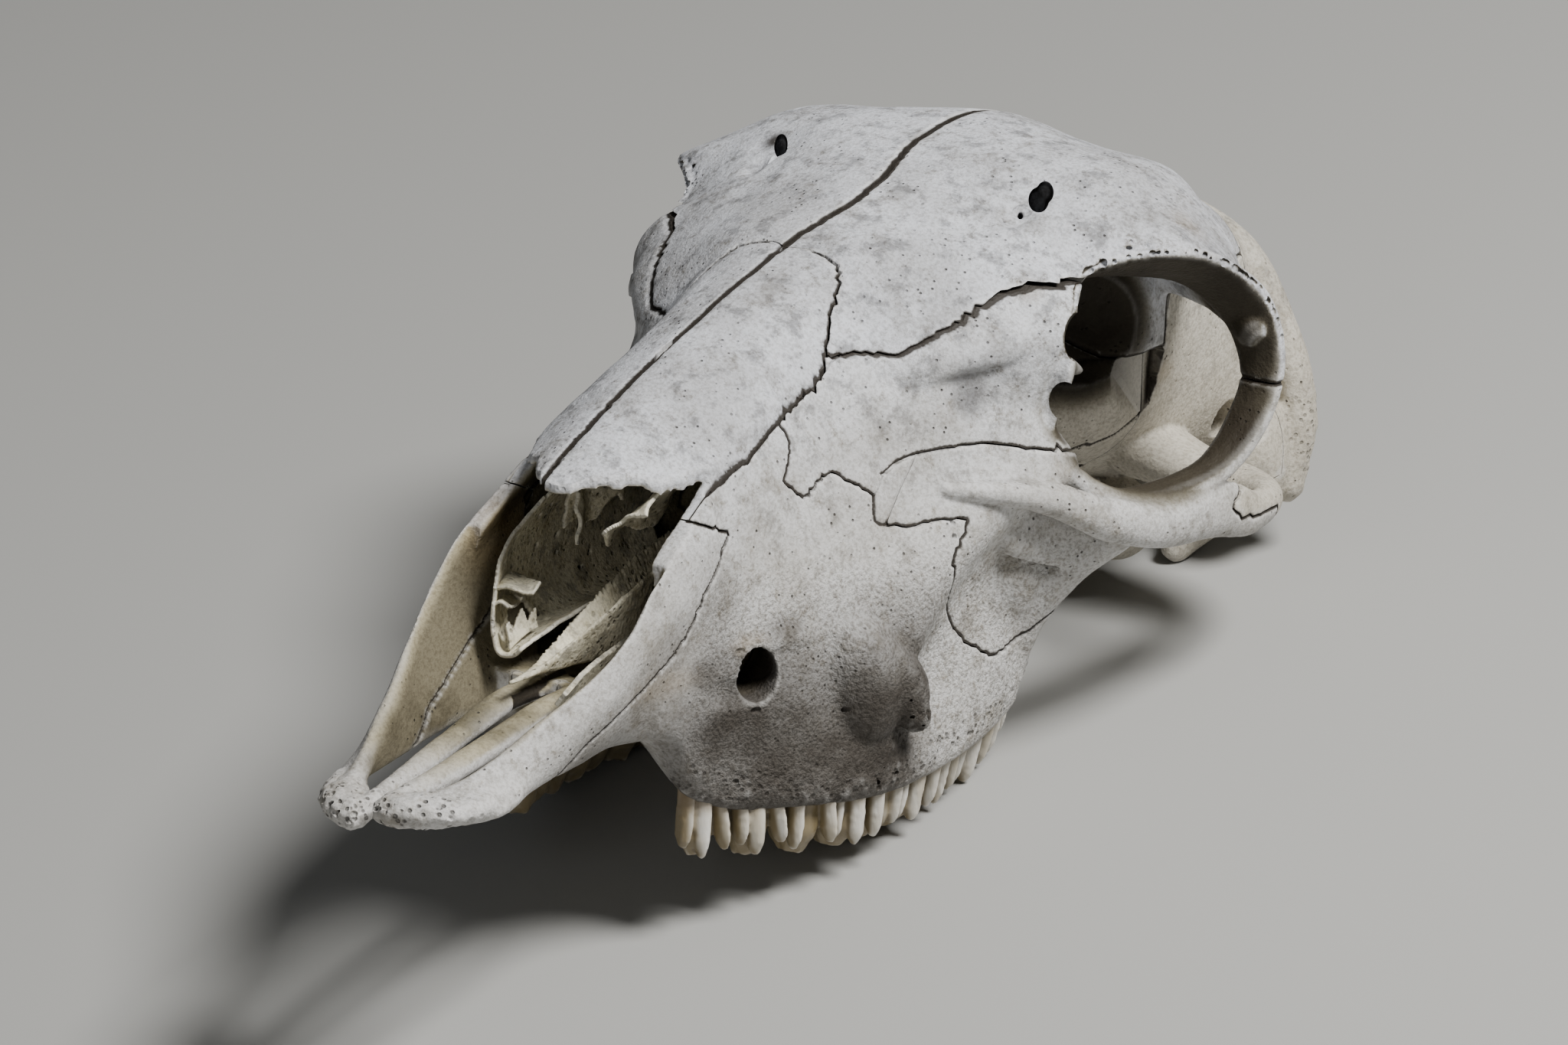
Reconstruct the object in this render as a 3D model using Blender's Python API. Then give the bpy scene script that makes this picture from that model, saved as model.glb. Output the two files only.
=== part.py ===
# Skull of a hornless sheep without its lower jaw, life size.
# Lengths are in millimetres: x to the animal's left, y from the snout back, z up from the chewing plane.
import math

import bmesh
import bpy
import numpy as np
from mathutils import Matrix, Vector

MM = 0.001
SUTURE_GAP = 0.3
SNOUT_LEAN = 0.9
SNOUT_SAG = 2.0
REST_TILT = 15.0
PARTING_SOLVER = "MANIFOLD"
VOXEL = 1.05
ROUGH_TRIANGLES = 5000
JUGULAR_TIP = 26.6

ROOT_DEPTH = 6.0
TURBINATE_ENDS = (54, 104)
TURBINATE_ROWS = 16

COLOURS = {
    "upper bone": (0.62, 0.62, 0.62),
    "face bone": (0.55, 0.52, 0.47),
    "base bone": (0.58, 0.55, 0.49),
    "thin bone": (0.5, 0.45, 0.34),
}
BONES_BY_COLOUR = {
    "upper bone": ("frontal", "nasal", "parietal"),
    "face bone": ("maxilla", "premaxilla", "lacrimal", "zygomatic"),
    "base bone": ("temporal", "occipital", "sphenoid", "palatine"),
    "thin bone": ("turbinate", "vomer"),
}

# Rails run from the snout back. Each row is y, x, z.
FACE_RAILS = {
    "dorsal": (
        (56, 0, 65), (68, 0, 70.5), (79, 0, 75.6), (92, 0, 81.5), (109, 0, 88.6), (124, 0, 94),
        (140, 0, 99), (155, 0, 102),
    ),
    "nasal_middle": (
        (56, 10.5, 61.4), (76, 10.5, 71.3), (92, 10.5, 78.3), (109, 10.5, 85.6), (124, 11, 92),
        (140, 12, 98), (155, 14, 101),
    ),
    "nasal_edge": (
        (56, 16.8, 56), (76, 16.9, 65.4), (92, 16.8, 71.8), (109, 17, 78.6), (124, 19.5, 86.2),
        (140, 27, 93.6), (155, 30, 98),
    ),
    "upper_cheek": (
        (56, 20.6, 49), (76, 20.4, 56), (92, 21.9, 62), (109, 24.6, 67), (124, 29, 75), (135, 36, 80),
        (142, 42.5, 84), (155, 44, 88),
    ),
    "cheek": (
        (56, 20.8, 40), (76, 23.4, 42), (92, 26.5, 46), (109, 31, 51), (124, 34.6, 61), (135, 38, 66),
        (142, 40.6, 69), (155, 43, 69),
    ),
    "lower_cheek": (
        (56, 19.5, 30), (76, 25.3, 29), (92, 31, 30), (109, 36.3, 34), (124, 39, 48), (140, 44, 57),
        (155, 47, 58),
    ),
    "tuber": (
        (56, 18, 26), (76, 24.5, 20), (92, 31.5, 18), (107, 35.6, 21), (116, 34.5, 24), (126, 34.5, 33),
        (140, 37, 42), (155, 38, 44),
    ),
    "gum": (
        (60, 16.5, 22.5), (66, 18.5, 21), (71, 20, 12), (76, 22.5, 9.5), (92, 30.5, 7.6), (109, 36, 7.6),
        (125, 37, 9.5), (140, 36.8, 12.5), (155, 35, 17),
    ),
    "inner_gum": (
        (56, 12, 22.5), (66, 12, 21), (76, 13, 12), (92, 17, 9.5), (109, 20.5, 9.5), (125, 21.5, 11.5),
        (140, 21, 15), (155, 18, 22),
    ),
    "palate_side": (
        (56, 7, 26), (76, 8, 21), (92, 11, 18.5), (109, 14, 18.5), (125, 14, 20), (140, 12, 24),
        (155, 11, 33),
    ),
    "palate": (
        (56, 0, 26), (76, 0, 22), (92, 0, 20.5), (109, 0, 20.5), (125, 0, 22), (140, 0, 26),
        (155, 0, 34),
    ),
}
FACE_ENDS = (60, 149)

FRONTAL_TOP = {
    "middle": (
        (118, 0, 91), (124, 0, 93.5), (140, 0, 100), (155, 0, 104.5), (168, 0, 107.8), (180, 0, 109.9),
        (195, 0, 108), (208, 0, 103),
    ),
    "inner": (
        (118, 12, 86), (124, 12, 92), (140, 14, 98), (155, 16, 103), (168, 19, 107), (180, 19, 108),
        (195, 17, 105), (208, 16, 100),
    ),
    "outer": (
        (118, 19, 82), (124, 22, 86), (140, 29, 92.5), (155, 32, 98), (168, 37, 102), (180, 38.5, 103.5),
        (195, 34, 103), (208, 28, 98.5),
    ),
    "edge": (
        (118, 24, 76), (124, 30, 79), (140, 40, 84), (150, 41, 89), (156, 41.5, 92.5), (168, 52, 95.5),
        (180, 55, 92.5), (190, 49, 93.5), (208, 33, 89),
    ),
}
FRONTAL_DEPTH = {"middle": 16, "inner": 14, "outer": 9, "edge": 4.5}

BRAINCASE_RAILS = {
    "top": (
        (140, 0, 96), (158, 0, 98), (172, 0, 104), (185, 0, 107), (198, 0, 106), (210, 0, 102),
        (222, 0, 96.5), (234, 0, 89),
    ),
    "upper": (
        (140, 13, 90), (158, 15, 92), (172, 18, 99), (185, 24, 101), (198, 27, 99.5), (210, 28, 96),
        (222, 27.5, 91.5), (234, 25, 85),
    ),
    "side": (
        (140, 15, 72), (158, 16, 74), (172, 20, 76), (185, 32.5, 80), (198, 34, 81), (210, 33.5, 79),
        (222, 33, 76), (234, 33.5, 71),
    ),
    "low": (
        (140, 14, 54), (158, 14, 56), (172, 17, 56), (185, 28, 57), (198, 30.5, 58), (210, 31, 57),
        (222, 32, 55), (234, 35, 52),
    ),
    "base": (
        (140, 9, 42), (158, 9, 43), (172, 9, 44), (185, 12, 45), (198, 18, 46), (210, 22, 44),
        (222, 22, 42), (234, 22, 42),
    ),
    "keel": (
        (140, 0, 41), (158, 0, 41), (172, 0, 42), (185, 0, 42), (198, 0, 41), (210, 0, 40), (222, 0, 39),
        (234, 0, 39),
    ),
}
BRAINCASE_ENDS = (140, 234)

CAVITY_RAILS = {
    "roof": (
        (50, 0, 60), (57, 0, 61), (76, 0, 70.5), (92, 0, 77.5), (109, 0, 84.5), (124, 0, 88),
        (136, 0, 86),
    ),
    "roof_corner": (
        (50, 13, 57), (57, 13.5, 56), (76, 14, 65), (92, 14, 71), (109, 13.5, 78), (124, 12, 83),
        (136, 8, 83),
    ),
    "wall": (
        (50, 17.5, 44), (57, 18, 44), (76, 19, 48), (92, 20, 52), (109, 20, 56), (124, 18, 62),
        (136, 10, 66),
    ),
    "floor_corner": (
        (50, 14, 31), (57, 15, 31), (76, 16, 30), (92, 16, 30), (109, 15, 32), (124, 12, 38),
        (136, 7, 48),
    ),
    "floor": (
        (50, 0, 29), (57, 0, 29.5), (76, 0, 27), (92, 0, 26), (109, 0, 26.5), (124, 0, 32), (136, 0, 46),
    ),
}
CAVITY_ENDS = (50, 136)

# The side wall of the snout's opening, in front of the cheek. Each row is y, x, z.
WALL_RAILS = {
    "edge": (
        (11, 9.5, 21.8), (16, 11, 23.2), (22.5, 12.9, 25.6), (32.4, 15.9, 31.4), (43, 19.5, 38.2),
        (51, 20.8, 44.9), (55, 20.5, 49.3), (61, 20.1, 53.6), (66, 19.6, 56.8), (74, 18.7, 61.4),
    ),
    "outer": (
        (11, 12, 21), (22.5, 15.2, 23.5), (32.4, 17.8, 27.5), (43, 20.6, 32), (54, 21.8, 40),
        (66, 21.8, 48), (74, 21.5, 52),
    ),
    "lower": (
        (11, 12.5, 18), (18, 17.3, 19.5), (29, 17.2, 22), (41, 18, 24.5), (54, 19.5, 28.5),
        (66, 21.5, 31), (74, 23, 32),
    ),
    "foot": (
        (11, 10, 16), (18, 16.3, 17.6), (29, 15.8, 19.4), (41, 15.6, 21.2), (54, 15.8, 22.6),
        (66, 17, 22), (74, 18, 22),
    ),
    "inner_foot": (
        (11, 6, 16.5), (18, 11.5, 18), (29, 12.5, 20.3), (41, 12.8, 22.6), (54, 13, 24.5),
        (66, 13, 25.5), (74, 13, 25.5),
    ),
    "inner": (
        (11, 6.5, 20.5), (22.5, 10.5, 23), (32.4, 13.4, 28), (43, 17.2, 34), (54, 18.3, 41),
        (66, 18, 49), (74, 17.5, 54),
    ),
}
WALL_ENDS = (11, 74)

# Where the snout's opening is cut out of the cheek, as seen from the side: y, z.
APERTURE = (
    (40, 36.5), (51, 44.9), (55, 49.3), (61, 53.6), (66, 56.8), (70, 59.4), (76, 63.6), (80, 67.4),
    (80, 120), (40, 120),
)

# The free front ends of the nasal bones: the plate's top, its depth, and its broken front edge as x, y.
NASAL_TOP = {
    "middle": ((50, 0, 62), (68, 0, 70.5), (79, 0, 75.6), (96, 0, 83.2)),
    "inner": ((50, 6, 61), (68, 6, 69.4), (79, 6, 74.4), (96, 6, 82)),
    "outer": ((50, 12.2, 57.6), (68, 12.2, 66), (79, 12.2, 71), (96, 12.2, 78.4)),
    "edge": ((50, 17, 54.6), (68, 17, 61.8), (79, 17, 67), (96, 16.8, 74)),
}
NASAL_DEPTH = {"middle": 2.6, "inner": 2.4, "outer": 2.4, "edge": 2.2}
NASAL_FRONT = (
    (0, 54), (1.6, 54.4), (2.6, 56.6), (3.7, 55.8), (5, 58.6), (6.2, 58.2), (7.4, 61.2), (9, 61.4),
    (10.2, 65), (11.6, 64.6), (13, 67.9), (14.2, 69.4), (15.2, 72.6), (16.2, 73.6), (17, 77.4), (22, 79),
)

# The eye socket's rim: its crest as x, y, z, the band's inner edge as x, y, z, then half its thickness.
RIM = (
    (42.2, 156.3, 93, 34, 160, 90, 1.5), (42, 149.9, 88.2, 35, 152, 85, 1.5),
    (45.3, 144.6, 76.8, 38.5, 147.5, 76, 1.6), (41.9, 145.2, 63, 37, 148, 62, 1.7),
    (49.5, 151.6, 55, 44, 153, 53.5, 2.3), (54, 162, 52.5, 47.5, 163, 50.5, 2.5),
    (58.8, 177, 56, 53, 177.5, 54.5, 2.3), (61.5, 187, 66, 53.5, 188, 63.5, 2),
    (61.3, 189, 77.5, 53.5, 190.5, 72, 2), (59, 183.5, 88, 50, 187.5, 81.5, 2.1),
    (53, 170, 95, 44, 178, 89, 1.8),
)


# Sutures of the left side, from the front back. Seen from the side they are y, z.
PREMAXILLA_REAR = (
    (36, 12), (36, 20.5), (41.3, 25.9), (49.9, 30.5), (55.8, 34), (61.9, 38), (66, 42.2), (68.8, 46.4),
    (73.2, 50.3), (75.5, 53), (77.6, 55.5), (71.9, 57.3), (64, 60),
)
LACRIMAL_FRONT = ((109.4, 58), (103.2, 62.4), (99.1, 60.7), (96.1, 58.5), (92, 62), (96, 67.2), (93.6, 74.6))
LACRIMAL_TOP = (
    (101.6, 78.4), (108, 79.9), (115.8, 79.6), (120.9, 79.4), (125.8, 82.5), (131.2, 85.3),
    (138.8, 88.6), (143.2, 89.8), (148.1, 90.2), (153, 90.3),
)
LACRIMAL_FOOT = (
    (153, 61.5), (145, 62.5), (139.2, 63.5), (135.8, 64.2), (131.8, 64.8), (125.8, 64.8), (118.8, 64),
    (115.3, 63), (111.8, 61),
)
ZYGOMATIC_FRONT = (
    (158, 33), (151.4, 32), (148.1, 28.9), (139.1, 26.1), (134.7, 28), (131.2, 30), (123.3, 39.4),
    (121, 46.9), (125, 53.2), (120.3, 53.3), (114.8, 52.4), (108.4, 53.3), (109.4, 58),
)
ZYGOMATIC_REAR = (
    (170, 66), (184, 70), (197, 71), (197, 60), (191, 54.5), (183, 52.5), (178.5, 49.8), (182, 47.2),
    (189, 46.6), (197, 47), (198, 36),
)
FRONTAL_FOOT = (
    (160, 86), (172, 80), (184, 70.3), (197, 71.3), (196, 78), (196.5, 87), (199, 95), (201, 104),
    (201, 120),
)
# Seen from above they are x, y.
NASAL_OUTER = (
    (17.9, 50), (17.9, 74), (18.2, 86), (17.9, 94), (17.6, 101.6), (17.8, 107.7), (16.5, 111.4),
    (14.1, 115.2), (12.9, 119), (12, 121.1), (9.5, 123.6), (7.2, 124.3), (4.3, 124.5),
)


# Cheek teeth: the crown's front and back y, how wide it is across, and how many lobes it has.
TEETH = (
    (71.5, 79.2, 6.5, 1), (79.7, 88.2, 8.5, 1), (88.7, 98.1, 10.5, 1), (98.6, 114.5, 12.5, 2),
    (115, 134.8, 13.5, 2), (135.3, 156, 12.5, 3),
)
# Along the row: y, the crown's outer x and z at the gum, then at the tips.
TOOTH_ROW = (
    (70, 19, 14, 19, 0.6), (76, 21.8, 12, 21.8, 0), (84, 26.2, 11.5, 26.2, -0.3),
    (93, 30.6, 9.5, 30.4, -0.8), (103, 34, 9.7, 33.6, -1.1), (112, 36, 10.5, 34.8, -0.8),
    (121, 36.2, 12, 34.6, -0.1), (131, 36, 13.8, 33.8, 0.6), (141, 35.4, 16, 32.8, 2.2),
    (152, 33.6, 19, 31, 5), (158, 32, 21, 29.5, 7.5),
)
LOBE = (
    (-0.5, 0.14), (-0.4, 0), (-0.2, 0.09), (0, 0.02), (0.22, 0.1), (0.42, 0.02), (0.5, 0.16),
    (0.44, 0.8), (0.16, 1), (-0.16, 1), (-0.44, 0.8),
)


def curve_at(knots, places):
    """Smooth curve through knots, whose rows are a place and its values, read at places."""
    knots = np.array(knots, float)
    at, values = knots[:, 0], knots[:, 1:]
    slopes = np.gradient(values, at, axis=0)
    places = np.clip(np.asarray(places, float), at[0], at[-1])
    i = np.clip(np.searchsorted(at, places, side="right") - 1, 0, len(at) - 2)
    step = (at[i + 1] - at[i])[:, None]
    t = (places - at[i])[:, None] / step
    return (
        (1 + 2 * t) * (1 - t) ** 2 * values[i]
        + t * (1 - t) ** 2 * step * slopes[i]
        + t * t * (3 - 2 * t) * values[i + 1]
        + t * t * (t - 1) * step * slopes[i + 1]
    )


def ring_through(points, per):
    """Closed smooth ring through the points, with per steps from each to the next."""
    points = np.array(points, float)
    before = np.roll(points, 1, axis=0)
    after = np.roll(points, -1, axis=0)
    later = np.roll(points, -2, axis=0)
    t = (np.arange(per) / per)[:, None, None]
    ring = 0.5 * (
        2 * points
        + (after - before) * t
        + (2 * before - 5 * points + 4 * after - later) * t**2
        + (3 * points - before - 3 * after + later) * t**3
    )
    return ring.transpose(1, 0, 2).reshape(-1, points.shape[1])


def faces_between(rings, closed=False):
    """The faces from each ring to the next, all rings having as many points."""
    count = len(rings[0])
    faces = []
    for i in range(len(rings) if closed else len(rings) - 1):
        a = i * count
        b = (i + 1) % len(rings) * count
        for j in range(count):
            k = (j + 1) % count
            faces.append((a + j, a + k, b + k, b + j))
    return faces


def skin(rings, closed=False):
    """A form (points, faces) stretched over rings of equal length, with its ends filled."""
    count = len(rings[0])
    points = np.concatenate(rings)
    faces = faces_between(rings, closed)
    if not closed:
        centres = [np.mean(rings[0], axis=0), np.mean(rings[-1], axis=0)]
        first = len(points)
        points = np.concatenate([points, centres])
        last = (len(rings) - 1) * count
        for j in range(count):
            k = (j + 1) % count
            faces.append((first, k, j))
            faces.append((first + 1, last + j, last + k))
    return points, faces


def rail_form(rails, ends, step=4.0, per=4):
    """A form on both sides of the middle plane, lofted over rails named from top to bottom."""
    places = np.linspace(ends[0], ends[1], max(2, round((ends[1] - ends[0]) / step)) + 1)
    read = [curve_at(rows, places) for rows in rails.values()]
    rings = []
    for i, y in enumerate(places):
        half = [(r[i][0], r[i][1]) for r in read]
        back = [(-x, z) for x, z in half[-2:0:-1]]
        ring = ring_through(half + back, per)
        rings.append(np.column_stack([ring[:, 0], np.full(len(ring), y), ring[:, 1]]))
    return skin(rings)


def slab_form(top, depth, step=4.0, per=3):
    """A plate over both sides: rails of its top, from the middle out, and its depth under each."""
    names = list(top)
    low = max(rows[0][0] for rows in top.values())
    high = min(rows[-1][0] for rows in top.values())
    places = np.linspace(low, high, round((high - low) / step) + 1)
    read = {name: curve_at(rows, places) for name, rows in top.items()}
    rings = []
    for i, y in enumerate(places):
        upper = [tuple(read[name][i]) for name in names]
        lower = [(read[name][i][0] * 0.97, read[name][i][1] - depth[name]) for name in names]
        half = upper + lower[::-1]
        back = [(-x, z) for x, z in half[::-1] if x > 0]
        ring = ring_through(half + back, per)
        rings.append(np.column_stack([ring[:, 0], np.full(len(ring), y), ring[:, 1]]))
    return skin(rings)


def tube(path, sizes, up=(0, 0, 1), sides=12, per=5, closed=False):
    """A bar along a smooth path. sizes holds half the width and half the height at each point."""
    path = np.array(path, float)
    sizes = np.array(sizes, float)
    if closed:
        line = ring_through(path, per)
        half = ring_through(sizes, per)
    else:
        at = np.concatenate([[0], np.cumsum(np.linalg.norm(np.diff(path, axis=0), axis=1))])
        places = np.linspace(0, at[-1], per * (len(path) - 1) + 1)
        line = curve_at(np.column_stack([at, path]), places)
        half = np.maximum(curve_at(np.column_stack([at, sizes]), places), 0.3)
    rings = []
    turn = np.arange(sides) * 2 * math.pi / sides
    for i, centre in enumerate(line):
        if closed:
            along = line[(i + 1) % len(line)] - line[i - 1]
        else:
            along = line[min(i + 1, len(line) - 1)] - line[max(i - 1, 0)]
        along = along / np.linalg.norm(along)
        side = np.cross(up, along)
        side = side / np.linalg.norm(side)
        rise = np.cross(along, side)
        ring = centre + np.outer(np.cos(turn) * half[i][0], side) + np.outer(np.sin(turn) * half[i][1], rise)
        rings.append(ring)
        if not closed and i == 0:
            rings.insert(0, centre + (ring - centre) * 0.55 - along * half[i].min() * 0.7)
        if not closed and i == len(line) - 1:
            rings.append(centre + (ring - centre) * 0.55 + along * half[i].min() * 0.7)
    return skin(rings, closed)


def blob(centre, radii, turn_x=0.0, turn_y=0.0, turn_z=0.0, rings=10, sides=16):
    """An ellipsoid with the given half sizes, turned about its centre by degrees."""
    points = []
    for i in range(1, rings):
        a = math.pi * i / rings
        for j in range(sides):
            b = 2 * math.pi * j / sides
            points.append((math.sin(a) * math.cos(b), math.sin(a) * math.sin(b), math.cos(a)))
    points = np.array(points) * radii
    turn = (
        Matrix.Rotation(math.radians(turn_z), 3, "Z")
        @ Matrix.Rotation(math.radians(turn_y), 3, "Y")
        @ Matrix.Rotation(math.radians(turn_x), 3, "X")
    )
    points = points @ np.array(turn).T + centre
    return skin(list(points.reshape(rings - 1, sides, 3)))


def prism(outline, axis, low, high):
    """The outline, seen along the axis x or z, drawn out from low to high."""
    outline = np.array(outline, float)
    rings = []
    for level in (low, high):
        column = np.full(len(outline), float(level))
        if axis == "x":
            rings.append(np.column_stack([column, outline[:, 0], outline[:, 1]]))
        else:
            rings.append(np.column_stack([outline[:, 0], outline[:, 1], column]))
    points = np.concatenate(rings)
    count = len(outline)
    faces = [(j, (j + 1) % count, (j + 1) % count + count, j + count) for j in range(count)]
    faces.append(tuple(range(count))[::-1])
    faces.append(tuple(range(count, 2 * count)))
    return points, faces


def mirrored(form):
    points, faces = form
    return points * (-1, 1, 1), [face[::-1] for face in faces]


def both(forms):
    return forms + [mirrored(form) for form in forms]


def made(name, forms):
    """One mesh object of the forms, each with its faces turned outwards."""
    shape = bmesh.new()
    for points, faces in forms:
        corners = [shape.verts.new(Vector(p) * MM) for p in points]
        sides = [shape.faces.new([corners[i] for i in face]) for face in faces]
        bmesh.ops.recalc_face_normals(shape, faces=sides)
    mesh = bpy.data.meshes.new(name)
    shape.to_mesh(mesh)
    shape.free()
    obj = bpy.data.objects.new(name, mesh)
    bpy.context.collection.objects.link(obj)
    return obj


def settle(obj):
    """Puts what the object's modifiers make into its own mesh."""
    bpy.context.view_layer.update()
    graph = bpy.context.evaluated_depsgraph_get()
    mesh = bpy.data.meshes.new_from_object(obj.evaluated_get(graph))
    obj.modifiers.clear()
    old = obj.data
    obj.data = mesh
    bpy.data.meshes.remove(old)


def grown_together(obj, voxel, smoothing):
    remesh = obj.modifiers.new("one skin", "REMESH")
    remesh.mode = "VOXEL"
    remesh.voxel_size = voxel * MM
    if smoothing:
        smooth = obj.modifiers.new("soften", "SMOOTH")
        smooth.factor = 0.5
        smooth.iterations = smoothing
    settle(obj)


def cut(obj, cutter, operation="DIFFERENCE", keep_cutter=False, solver="EXACT"):
    boolean = obj.modifiers.new("cut", "BOOLEAN")
    boolean.operation = operation
    boolean.object = cutter
    boolean.solver = solver
    settle(obj)
    if not keep_cutter:
        bpy.data.objects.remove(cutter)


def side_form(rails, ends, step=3.0, per=3):
    """A form on the left side, lofted over rails that go round it."""
    places = np.linspace(ends[0], ends[1], round((ends[1] - ends[0]) / step) + 1)
    read = [curve_at(rows, places) for rows in rails.values()]
    rings = []
    for i, y in enumerate(places):
        ring = ring_through([tuple(r[i]) for r in read], per)
        rings.append(np.column_stack([ring[:, 0], np.full(len(ring), y), ring[:, 1]]))
    return skin(rings)


def face_mass():
    forms = [rail_form(FACE_RAILS, FACE_ENDS), slab_form(FRONTAL_TOP, FRONTAL_DEPTH)]
    ridge = ((32, 105, 43), (34.2, 108.5, 36), (35.8, 111, 29), (36.4, 112.2, 22.6))
    buttress = (
        (33, 147, 18), (33.5, 149, 24), (35, 150.5, 30), (38.5, 152, 36), (44, 154, 42), (50, 157, 47),
    )
    forms += both([
        tube(ridge, ((1, 1.4), (2, 2.8), (2.5, 3.6), (2.4, 2.6))),
        tube(buttress, ((4, 4), (4, 4.5), (4, 5), (4, 5), (3.4, 4.5), (3, 4)), up=(0, 1, 0)),
        blob((27, 148, 40), (14, 12, 13)),
        blob((28.5, 147, 24.5), (9, 11, 11)),
    ])
    return forms


def braincase_mass():
    forms = [rail_form(BRAINCASE_RAILS, BRAINCASE_ENDS)]
    forms.append(blob((0, 203, 74), (31, 34, 27)))
    base = ((0, 138, 43), (0, 180, 43), (0, 210, 40), (0, 234, 41))
    forms.append(tube(base, ((6, 5), (8, 5.5), (11, 6), (9, 5))))
    forms.append(blob((0, 229.5, 66), (33, 7, 21), turn_x=8))
    crest = (
        (39.5, 235, 40), (40.5, 237, 53), (36, 236, 68), (26.5, 233.5, 83), (13, 231.5, 88.8),
        (0, 230.5, 89.8),
    )
    forms += both([tube(crest, ((3.5, 4), (3, 4), (3, 4), (3, 4), (3, 4), (3.5, 4)), up=(0, 1, 0))])
    return forms


def skull_base():
    jugular = ((31, 231, 50), (28.5, 231, 38), (24.8, 228.5, 31), (22.8, 225.5, JUGULAR_TIP))
    plate = ((14, 132, 25), (12.5, 145, 28), (11, 158, 31), (10.5, 170, 36), (10, 180, 40))
    return both([
        blob((13.5, 236.5, 43), (8, 8, 10), turn_y=-15),
        tube(jugular, ((3.5, 8), (3, 7), (2.5, 4.5), (2.2, 3))),
        blob((20, 209, 35), (6.5, 9, 7.5)),
        blob((36, 230, 46), (6, 9, 11)),
        tube(plate, ((2.2, 7), (2, 9), (2, 9), (2, 7), (2.5, 4))),
    ])


def cheek_arch():
    arch = (
        (35, 122, 58), (40.5, 130, 57), (46, 140, 55), (51, 150, 51), (54.5, 162, 48.5), (57, 178, 49),
        (57.5, 190, 46.5), (55, 199, 46.8), (47, 205, 47), (36, 207, 47.5), (24, 208, 50),
    )
    sizes = (
        (1.2, 1.2), (2, 2), (2.8, 3), (3, 3.8), (2.8, 4.2), (2.6, 5), (2.6, 4), (3.4, 3.4), (6, 3.4),
        (8, 4), (9, 6),
    )
    root = ((31, 197, 88), (38, 195.5, 87.5), (46, 192.5, 85.5), (53, 188.5, 82.5), (57, 186.5, 79))
    web = ((39, 138, 49), (42.5, 145.5, 47.5), (45.5, 151, 46.5), (48, 156, 46.5))
    return both([
        tube(arch, sizes),
        tube(root, ((5, 7), (4.5, 6.5), (4, 5.5), (3.2, 4.5), (2.4, 3.5))),
        tube(web, ((2, 4.5), (2, 5.5), (2.2, 5.5), (2.4, 4))),
    ])


def orbit_rim():
    """A closed band round the eye socket, thin at its crest and thicker inwards."""
    knots = np.array(RIM)
    crest = ring_through(knots[:, :3], 5)
    inner = ring_through(knots[:, 3:6], 5)
    thick = ring_through(knots[:, 6:], 5)[:, 0]
    rings = []
    for i in range(len(crest)):
        across = inner[i] - crest[i]
        around = crest[(i + 1) % len(crest)] - crest[i - 1]
        out = np.cross(across, around)
        out *= thick[i] / np.linalg.norm(out)
        ring = []
        for along, share in ((0, 0.45), (0.12, 0.85), (0.5, 1.15), (0.9, 1.2), (1, 0.7)):
            ring.append(crest[i] + across * along + out * share)
        for along, share in ((1, 0.7), (0.9, 1.2), (0.5, 1.15), (0.12, 0.85), (0, 0.45)):
            ring.append(crest[i] + across * along - out * share)
        rings.append(np.array(ring))
    return both([skin(rings, closed=True)])


def snout_forms():
    forms = [side_form(WALL_RAILS, WALL_ENDS)]
    body = ((2.8, 7.5, 18.5), (7, 9.5, 19), (12, 14.5, 19.3), (15, 19, 20))
    forms.append(tube(body, ((3, 2.6), (4.5, 3), (5, 2.6), (3, 2))))
    bar = ((3, 9, 19), (3.6, 20, 21), (4, 35, 24), (4.2, 50, 27), (4.2, 66, 28))
    forms.append(tube(bar, ((2.2, 2.4), (2.2, 2), (2.4, 1.8), (2.6, 1.8), (3, 2.2))))
    right = []
    for form in forms:
        points, faces = mirrored(form)
        share = np.clip((74 - points[:, 1]) / 40, 0, 1) + np.clip((24 - points[:, 1]) / 14, 0, 1)
        points[:, 0] *= 1 - (1 - SNOUT_LEAN) * share
        points[:, 2] -= SNOUT_SAG * np.clip(1.2 - points[:, 1] / 40, 0, 1.2)
        right.append((points, faces))
    return forms + right


def nasal_plate():
    """The free front ends of the nasal bones, over the opening, with a broken edge."""
    plate = made("nasal plate", [slab_form(NASAL_TOP, NASAL_DEPTH)])
    outline = NASAL_FRONT + ((22, 40),) + ((-22, 40),) + tuple((-x, y) for x, y in NASAL_FRONT[:0:-1])
    cut(plate, made("front", [prism(outline, "z", 30, 100)]))
    return plate


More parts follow.
